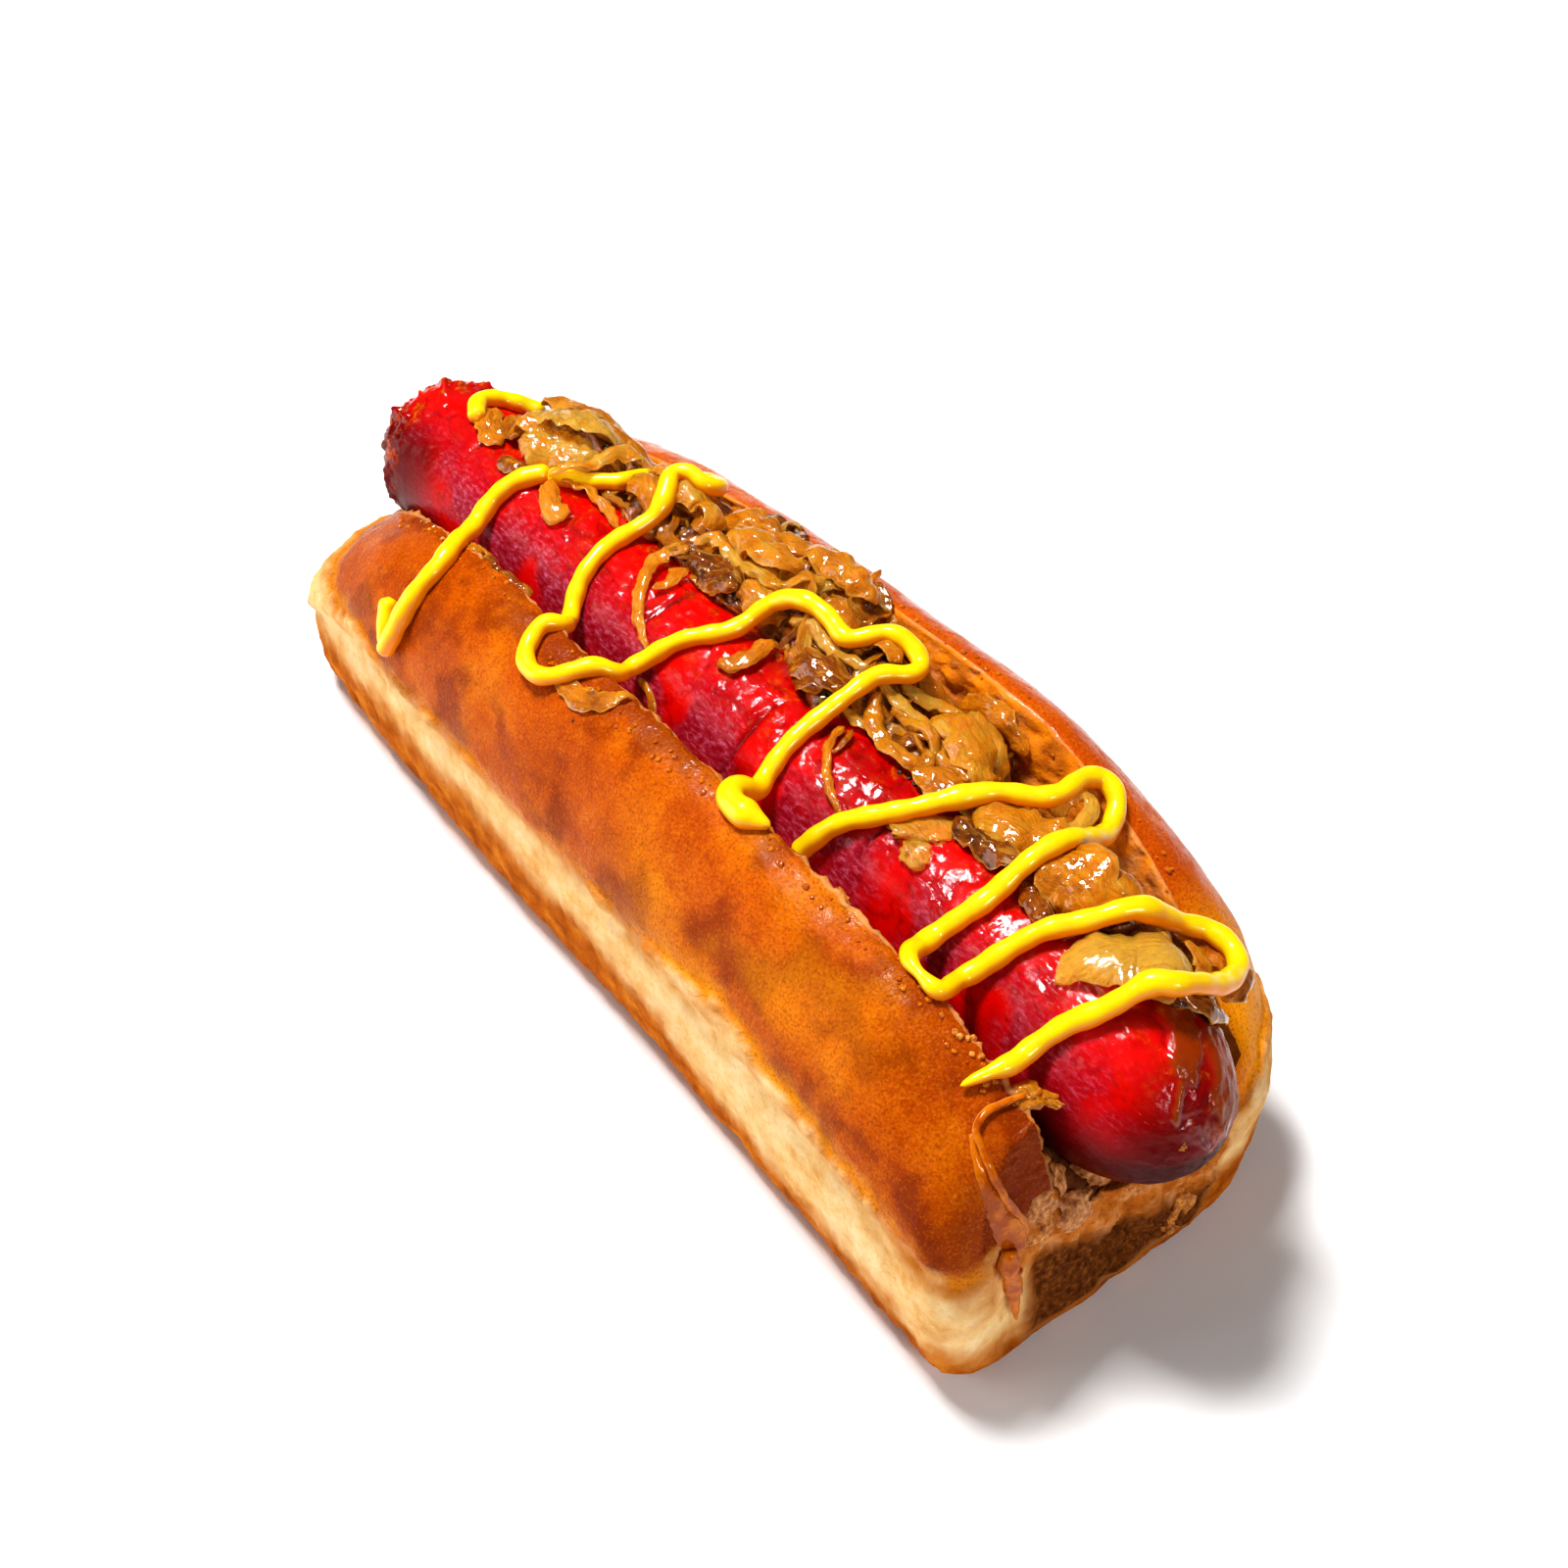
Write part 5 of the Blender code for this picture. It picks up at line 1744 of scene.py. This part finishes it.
    def tangle(self, top: Surface) -> bpy.types.Object:
        """Short strands over the core, swept by geometry nodes.

        Args:
            top: The roll, the sausage and the core.

        Returns:
            The strands as one mesh.
        """
        dice = np.random.default_rng(self.seed)
        rest = top.over(0.7)
        lines, radii, tilts = [], [], []
        for _ in range(self.strands):
            x = dice.uniform(self.left + 4, self.right - 8)
            near, far = along(self.near, x), along(self.far, x)
            y = near + (far - near) * dice.uniform(0.08, 0.95)
            heading = dice.normal(0.0, 0.5) + (math.pi if dice.random() < 0.5 else 0.0)
            bend = dice.normal(0.0, 0.08)
            length = dice.uniform(5.0, 15.0)
            lift = dice.uniform(0.0, 0.6)
            size = dice.uniform(0.35, 1.0)
            roll = dice.normal(0.0, 0.5)
            twist = dice.normal(0.0, 0.9)
            count = max(6, int(length / 0.7))
            line, widths, turns = [], [], []
            for i in range(count):
                t = i / (count - 1)
                low = along(self.near, x) - 0.3
                high = along(self.far, x) + 0.6
                across = min(max(y, low), high)
                hump = lift * math.sin(math.pi * t) + 0.2 * math.sin(9 * t + roll * 5)
                line.append((x, across, top.read(rest, x, across) + hump - 0.2))
                widths.append(size * max(0.05, math.sin(math.pi * (0.03 + 0.94 * t))) ** 0.45)
                turns.append(roll + twist * (t - 0.5))
                x = min(max(x + math.cos(heading) * length / count, self.left + 1), self.right - 2)
                y += math.sin(heading) * length / count
                heading += bend + 0.22 * math.sin(6 * t + lift * 7)
            lines.append(relax([np.array(p) for p in line], 4))
            radii.append(widths)
            tilts.append(turns)
        guide = guide_curve("onion_guides", lines, radii, tilts)
        return grow("onion_strands", guide, strand_tree(), {"Width": 2.6, "Thickness": 0.8, "Crumple": 0.3})

    def build(self, top: Surface) -> list[bpy.types.Object]:
        """Make the tangle, the leaves and the scraps.

        Args:
            top: The roll, the sausage and the core.

        Returns:
            The onion pieces that lie on the core.
        """
        groups = (("left", self.left_leaves), ("middle", self.middle_leaves), ("right", self.right_leaves))
        strands = self.tangle(top)
        leaves = [lay(f"onion_leaves_{name}", group, top, ball=0.6, crumple=0.42, size=1.6)
                  for name, group in groups]
        return [strands, *leaves, joined("onion_scraps", [scrap.form() for scrap in self.scraps])]


# The clear onion petal that lies by itself near the right end, with a darker one folded under it
PETAL = (
    Leaf(((67.6, -1.6, 0.2), (69.4, 0.4, 0.4), (71.2, 2.6, 0.4), (72.2, 5.4, 0.2)), (1, 2.8, 3.2, 2), 0.3,
        0.15, 0.6, 10, 0.4),
    Leaf(((62.8, -5.9, 0.2), (63.4, -2.4, 0.6), (65.3, 0.9, 1), (68, 3.2, 1.2), (71, 4.6, 0.8)),
        (0.8, 6.4, 9.2, 9.4, 5.6), -0.1, 0.16, 0.6, -8, 0.15),
)

# A wet film of onion on the near crust, with a thin loop that hangs back into the groove
NEAR_FILM = (
    Leaf(((-8.4, -20.4, -0.2), (-5.4, -20, -0.1), (-1.8, -19.4, -0.1), (1.2, -17.2, 0)),
        (0.8, 2.6, 3.4, 2.2), 0.5, 0.02, 0.3, 0, 0.2),
    Leaf(((0.2, -17.4, 0.1), (1.6, -15.2, 0.3), (0.8, -12.8, 0.2), (-1.4, -11.2, 0.2),
        (-4.6, -10.8, 0.2)), (2, 1.5, 1.2, 1.2, 0.8), 0.3, 0.05, 0.7, 0, 0.1),
)

# Torn bread at the right end: a toasted flake at the foot and lumps of crumb under the sausage
TORN_CRUMB = (
    Scrap((74.6, 6, 7.4), (1.8, 2.8, 4), 20, 0.5, 0, 5),
    Scrap((74.9, 4.4, 4), (1.6, 1.8, 1.8), 0, 0.5, 0, 5),
    Scrap((72, -15.4, 23.8), (2.6, 4.4, 3.4), 0, 0.14, 0.8, 5),
    Scrap((74, -16.4, 20.2), (1.7, 3, 2.6), 0, 0.14, 0.3, 5),
    Scrap((73.6, -11.2, 19.2), (2.2, 4.6, 2.8), 0, 0.14, 1, 5),
    Scrap((72.4, -7.4, 20), (2.2, 4, 2.4), 0, 0.14, 0.7, 5),
    Scrap((73.4, -2.6, 16.8), (2.2, 4.6, 2), 0, 0.14, 0.5, 5),
)


@dataclass(frozen=True)
class Bits:
    """Small bits scattered by geometry nodes: half the width and height of a middling one, and the zones."""

    name: str
    finish: Finishes
    size: float
    height: float
    zones: tuple[tuple[float, float, float, float, int], ...]
    seed: int = 11

    def tree(self) -> bpy.types.NodeTree:
        """Uneven grains, each turned and sized at random, on the points of a mesh."""
        sizes = {"Size": 0.5, "Height": 0.5}
        tree, start = new_tree(f"scattered_{self.finish.value.name}", sizes, self.seed)
        ball = add(tree, "GeometryNodeMeshIcoSphere", {"Radius": MM, "Subdivisions": 3})
        lumps = add(tree, "ShaderNodeTexNoise", {"Scale": 900.0, "Detail": 2.0}).outputs["Color"]
        push = add(tree, "ShaderNodeVectorMath", {0: lumps, 1: (0.5, 0.5, 0.5)}, operation="SUBTRACT")
        push = add(tree, "ShaderNodeVectorMath", {0: push, "Scale": 0.9 * MM}, operation="SCALE")
        rough = add(tree, "GeometryNodeSetPosition", {
            "Geometry": ball, "Offset": push})
        flat = add(tree, "ShaderNodeCombineXYZ", {"X": start.outputs["Size"], "Y": start.outputs["Size"],
                                                  "Z": start.outputs["Height"]})
        grain_size = add(tree, "FunctionNodeRandomValue", {2: 0.4, 3: 1.3, "Seed": start.outputs["Seed"]},
                         data_type="FLOAT").outputs[1]
        scale = add(tree, "ShaderNodeVectorMath", {0: flat, "Scale": grain_size}, operation="SCALE")
        turn = add(tree, "FunctionNodeRandomValue", {0: (0.0, 0.0, 0.0), 1: (0.5, 0.5, 6.28)},
                   data_type="FLOAT_VECTOR")
        laid = add(tree, "GeometryNodeInstanceOnPoints", {
            "Points": start.outputs["Geometry"], "Instance": rough,
            "Rotation": turn, "Scale": scale})
        end_tree(tree, laid, self.finish)
        return tree

    def scatter(self, surface: Surface) -> bpy.types.Object:
        """Drop the bits in their zones.

        Args:
            surface: What they lie on.

        Returns:
            The bits as one mesh.
        """
        dice = np.random.default_rng(self.seed)
        rest = surface.over(0.3)
        points = []
        for low_x, high_x, low_y, high_y, count in self.zones:
            for _ in range(count):
                x, y = dice.uniform(low_x, high_x), dice.uniform(low_y, high_y)
                points.append((x, y, surface.read(rest, x, y) - 0.25))
        source = mesh_piece(self.name, np.array(points), [])
        return grow(self.name, source, self.tree(), {"Size": self.size, "Height": self.height})


# Each zone is its low and high x, its low and high y, and how many bits lie in it
GLAZE_DROPS = Bits("glaze_drops", Finishes.GLAZE, size=0.32, height=0.22, zones=(
    (-12, 14, -19.5, -16.2, 30), (14, 66, -18.0, -16.0, 40), (-56, -14, -18, -15.4, 16), (0, 62, 14, 19, 50)))
BREAD_CRUMBS = Bits("bread_crumbs", Finishes.CRUMB, size=0.36, height=0.3, zones=(
    (60, 69, -16.6, -15, 7), (48, 66, -17.5, -15.6, 6), (-50, -40, -16.5, -15, 4), (36, 41, -14, -12, 3)))
CHAR_SPECKS = Bits("char_specks", Finishes.CHAR, size=0.24, height=0.24, zones=(
    (-20, 10, -22, -17, 3), (30, 34, 0.6, 1.6, 9), (-45, -38, -2.6, -0.6, 16)))


@dataclass
class HangingStrip:
    """The wet strip over the roll's near right corner."""

    facing: Point = (0.8, -0.4, 0.45)

    # A film, its pale edge, a folded flap and a drip: spine, widths along it, thickness and arch
    parts: tuple[tuple[tuple[Point, ...], tuple[float, ...], float, float], ...] = (
        (((68.3, -21.2, 34.7), (70, -21.9, 33.2), (72, -22.2, 30.8), (73.6, -21.6, 27.2), (74.8, -20.6, 23.6),
          (75.4, -20.8, 20.6)), (0.5, 1, 1.5, 2.5, 3.2, 2.2), 0.4, 0.05),
        (((68.8, -14.6, 36.2), (68.2, -16.4, 36), (67.8, -18.6, 35.9), (68.3, -20.6, 35.2), (70, -21.1, 33.9),
          (71.7, -21.3, 32.4), (73.1, -20.9, 29.8), (74, -19.8, 27), (74.8, -18.7, 24), (75.2, -18.9, 22)),
         (0.4, 0.9, 0.9, 0.8, 0.8, 0.9, 1, 1, 0.9, 0.5), 0.8, 0.1),
        (((75.4, -21.2, 22.6), (75.9, -21.4, 20.6), (76.3, -21.8, 18.6)), (1.4, 2.4, 1.2), 1, 0.2),
        (((75.9, -21, 19.4), (76.4, -20.8, 16), (76.7, -20.6, 13), (76.9, -20.3, 10.6)), (2.2, 2, 1.1, 0.3),
         0.9, 0.1),
    )

    def build(self) -> bpy.types.Object:
        """Sweep each part as a hanging ribbon and join them.

        Returns:
            The strip as one piece.
        """
        forms = []
        for spine, widths, thickness, arch in self.parts:
            line = smooth_path(spine, 0.4)
            stations = even_stations(widths)
            spread = [max(0.15, along(stations, i / (len(line) - 1))) for i in range(len(line))]
            ups = [Vector(self.facing).normalized()] * len(line)
            forms.append(ribbon(line, ups, spread, thickness, arch, tone=0.85, ruffle=0.15, seed=spine[0][2]))
        return joined("onion_strip_film", forms, crumple=0.1, size=2.0)


# ---------------------------------------------------------------- mustard


@dataclass(frozen=True)
class Bead:
    """One bead of mustard: where it turns, seen from above, how thick it is and how long its end tapers."""

    name: str
    turns: tuple[tuple[float, float], ...]
    node: str = ""
    radius: float = 1.25
    end: float = 1.0
    settle: int = 30

    def build(self, surface: Surface, tree: bpy.types.NodeTree) -> bpy.types.Object:
        """Lay the bead on the surface and sweep it.

        Args:
            surface: What lies below it.
            tree: The bead tree.

        Returns:
            The bead as a mesh.
        """
        rest = surface.over(self.radius * 0.95)
        flat = relax(smooth_path(self.turns, 0.4), 5)
        lowest = np.array([surface.read(rest, p[0], p[1]) for p in flat])
        heights = lowest.copy()
        for _ in range(self.settle):
            heights[1:-1] = np.maximum(lowest[1:-1], 0.5 * (heights[:-2] + heights[2:]))
        for _ in range(self.settle):
            heights[1:-1] = 0.5 * heights[1:-1] + 0.25 * (heights[:-2] + heights[2:])
        heights -= 0.25
        line = resample([(p[0], p[1], z) for p, z in zip(flat, heights)], 0.35)
        at = travelled(np.array(line))
        shares = []
        for s, spot in zip(at, line):
            tip = min(s / self.radius, (at[-1] - s) / (self.radius * self.end), 1.0)
            swell = 1.0 + 0.05 * math.sin(s * 0.7) + 0.04 * math.sin(s * 1.9 + 1.0)
            for x, y, reach, gain in MUSTARD_SWELLS:
                swell += gain * math.exp(-((spot[0] - x) ** 2 + (spot[1] - y) ** 2) / reach**2)
            shares.append(swell * max(0.02, math.sqrt(max(0.0, 1 - (1 - tip) ** 2))))
        guide = guide_curve(self.name, [line], [shares])
        return grow(self.name, guide, tree, {"Radius": self.radius})


MUSTARD_BEADS = (
    Bead("mustard_curl_bead", ((-55, -2.3), (-58.5, 0), (-59, 2.6), (-57.2, 6), (-54.6, 8)),
        "mustard_curl"),
    Bead("mustard_hook_bead", ((-38.6, -1), (-39.8, -3), (-41, -6), (-41, -10), (-38.5, -15),
        (-35.8, -19.6), (-35.6, -22.6), (-35.9, -25.5), (-36.5, -27.8), (-37.5, -28.7)), "mustard_hook",
        1.3),
    Bead("mustard_hook_stub", ((-40.3, -25.4), (-38.6, -27.2), (-37.4, -28.4)), "", 1.2),
    Bead("mustard_zigzag_bead", ((-38.8, -1.6), (-36.8, 0.2), (-34.6, 2.2), (-33, 4), (-31.6, 5.6),
        (-31.8, 8), (-31.4, 10.8), (-29.2, 13.4), (-26, 14.4), (-23.2, 14.2), (-21, 13.2), (-21.4, 11.2),
        (-23.8, 10.6), (-25, 8.8), (-23.2, 6.6), (-22, 4.4), (-22.4, 1), (-22.2, -3.1), (-20.9, -8),
        (-19, -10.8), (-16.4, -13.2), (-14.8, -14.8), (-15.8, -16.6), (-14.8, -19.2), (-12.8, -21.4),
        (-9.4, -21.7), (-7, -19.2), (-5.4, -16), (-3.9, -14.2), (-5, -11.6), (-4.2, -9.2), (-2.6, -5.8),
        (0.4, -1), (1.4, 4.4), (4.9, 6.4), (8.9, 7.3), (12.6, 7), (14, 8.8), (15.6, 11.2), (18.5, 12.3),
        (20.8, 11.7), (21, 9.6), (19.3, 6.4), (19.2, 2.6), (18.9, -4.4), (19.8, -9.8), (21.2, -12.4),
        (20.8, -14.6), (21.8, -16.6), (23.8, -17), (26, -16.6), (28.4, -15.8)), "mustard_zigzag", 1.15,
        3),
    Bead("mustard_zigzag_right", ((28.6, -12.6), (30, -10.6), (31.8, -8.2), (35.6, -3.5), (39.2, 3.1),
        (41.6, 6.6), (43.8, 8.9), (45, 11.4), (44.3, 15.6), (45.6, 17.6), (48.2, 16.8), (50.3, 13.4),
        (51.3, 9), (51.2, 4.6), (50.9, 0), (50.4, -5.3), (49.2, -10.2), (49.8, -13.6), (51.6, -15.6),
        (54, -15.9), (56.4, -15.4), (55.2, -12), (55.8, -9), (57.6, -3.5), (60.1, 1), (62.2, 5.4),
        (64.2, 9.8), (66, 12.4), (68.8, 13.2), (71.4, 12), (72.8, 8.6), (73.1, 4.6), (72.4, 1),
        (70.8, -0.6), (70, -2.4), (68.6, -5.4), (66.9, -8.2), (65.9, -11.2), (65.8, -14.5), (64.6, -19.6)),
        "", 1.2, 4.5),
)

# Where the mustard runs thin or gathers: place, reach and the share that it gains
MUSTARD_SWELLS = (
    (53.8, -16.2, 2.4, -0.42), (21.2, -15, 2.4, 0.42), (25, -16.9, 2.2, 0.45), (65, -18, 3.4, -0.3),
    (39, 3, 2, 0.14), (62.6, 7, 3, 0.16), (-22.4, 6, 2, 0.2), (6.3, 7, 2.4, 0.12), (70.8, -0.6, 2, 0.15),
)


@dataclass
class Studio:
    """The floor, the lights and the camera, which is placed in degrees and millimetres from the origin."""

    azimuth: float = 52.82
    elevation: float = 45.19
    distance: float = 270.36
    shift_right: float = 6.02
    shift_up: float = 11.10
    focal: float = 46.37

    def build(self) -> None:
        """Make the floor, lights and camera."""
        bpy.ops.mesh.primitive_plane_add(size=6.0, location=(0, 0, 0))
        floor = bpy.context.object
        floor.name = "studio_floor"
        floor.data.materials.append(Finishes.FLOOR.material())
        world = bpy.data.worlds.new("studio_air")
        world.use_nodes = True
        world.node_tree.nodes["Background"].inputs["Color"].default_value = linear("FFFFFF")
        world.node_tree.nodes["Background"].inputs["Strength"].default_value = 0.08
        bpy.context.scene.world = world
        bpy.context.scene.view_settings.view_transform = "Standard"
        bpy.context.scene.view_settings.look = "Medium High Contrast"
        self.lamp("top_softbox", (-0.3, -0.07, 0.95), distance=0.7, size=0.16, power=5.4)
        self.lamp("side_softbox", (-0.5, -0.8, 0.3), distance=0.8, size=0.5, power=2.4)
        self.lamp("front_softbox", (0.85, -0.1, 0.5), distance=0.9, size=0.2, power=2.2)
        self.camera()

    def lamp(self, name: str, way: Point, distance: float, size: float, power: float) -> None:
        """Add a square softbox that faces the food.

        Args:
            name: The lamp's name.
            way: Direction from the food.
            distance: Distance in metres.
            size: Side of the softbox in metres.
            power: Its power in watts.
        """
        data = bpy.data.lights.new(name, "AREA")
        data.energy = power
        data.size = size
        lamp = bpy.data.objects.new(name, data)
        direction = Vector(way).normalized()
        lamp.location = direction * distance
        lamp.rotation_mode = "QUATERNION"
        lamp.rotation_quaternion = direction.to_track_quat("Z", "Y")
        bpy.context.scene.collection.objects.link(lamp)

    def camera(self) -> None:
        """Look down on the food from its near right."""
        a, e = math.radians(self.azimuth), math.radians(self.elevation)
        back = Vector((math.sin(a) * math.cos(e), -math.cos(a) * math.cos(e), math.sin(e)))
        right = Vector((0, 0, 1)).cross(back).normalized()
        up = back.cross(right)
        data = bpy.data.cameras.new("camera")
        data.lens = self.focal
        data.clip_start = 0.01
        camera = bpy.data.objects.new("camera", data)
        camera.location = (back * self.distance + right * self.shift_right + up * self.shift_up) * MM
        camera.rotation_mode = "QUATERNION"
        camera.rotation_quaternion = back.to_track_quat("Z", "Y")
        bpy.context.scene.collection.objects.link(camera)
        bpy.context.scene.camera = camera


def main() -> None:
    """Build every piece in order, from the roll up."""
    logging.basicConfig(level=logging.INFO, format="%(name)s: %(message)s")
    Studio().build()
    roll = hand_over(Roll().build(), Finishes.ROLL, "bun", "bun")
    sausage = hand_over(Sausage().build(), Finishes.SAUSAGE, "sausage", "sausage")
    base = Surface([roll, sausage])
    onions = Onions()
    core = hand_over(onions.core(base), Finishes.ONION, "onions", "onions")
    heap = Surface([roll, sausage, core])
    loose = [hand_over(piece, Finishes.ONION, "onions") for piece in onions.build(heap)]
    petal = lay("onion_petal_leaf", PETAL, heap, ball=0.5, crumple=0.08, size=3.0)
    hand_over(petal, Finishes.ONION, "onions", "onion_petal")
    hand_over(HangingStrip().build(), Finishes.GLAZE, "onions", "onion_strip")
    film = lay("onion_film", NEAR_FILM, base, ball=0.4, crumple=0.2, size=1.3)
    hand_over(film, Finishes.ONION, "onions")
    crumb = joined("torn_crumb", [lump.form() for lump in TORN_CRUMB], crumple=0.35, size=3.0)
    hand_over(crumb, Finishes.CRUMB, "bun")
    for bits, surface, slot in (
        (GLAZE_DROPS, base, "onions"), (BREAD_CRUMBS, base, "bun"), (CHAR_SPECKS, heap, "onions"),
    ):
        hand_over(bits.scatter(surface), bits.finish, slot)
    topped = Surface([roll, sausage, core, petal, *[p for p in loose if not p.name.endswith("left")]])
    tree = bead_tree()
    for bead in MUSTARD_BEADS:
        piece = bead.build(topped, tree)
        hand_over(piece, Finishes.MUSTARD, "mustard", *([bead.node] if bead.node else []))


if __name__ == "__main__":
    main()
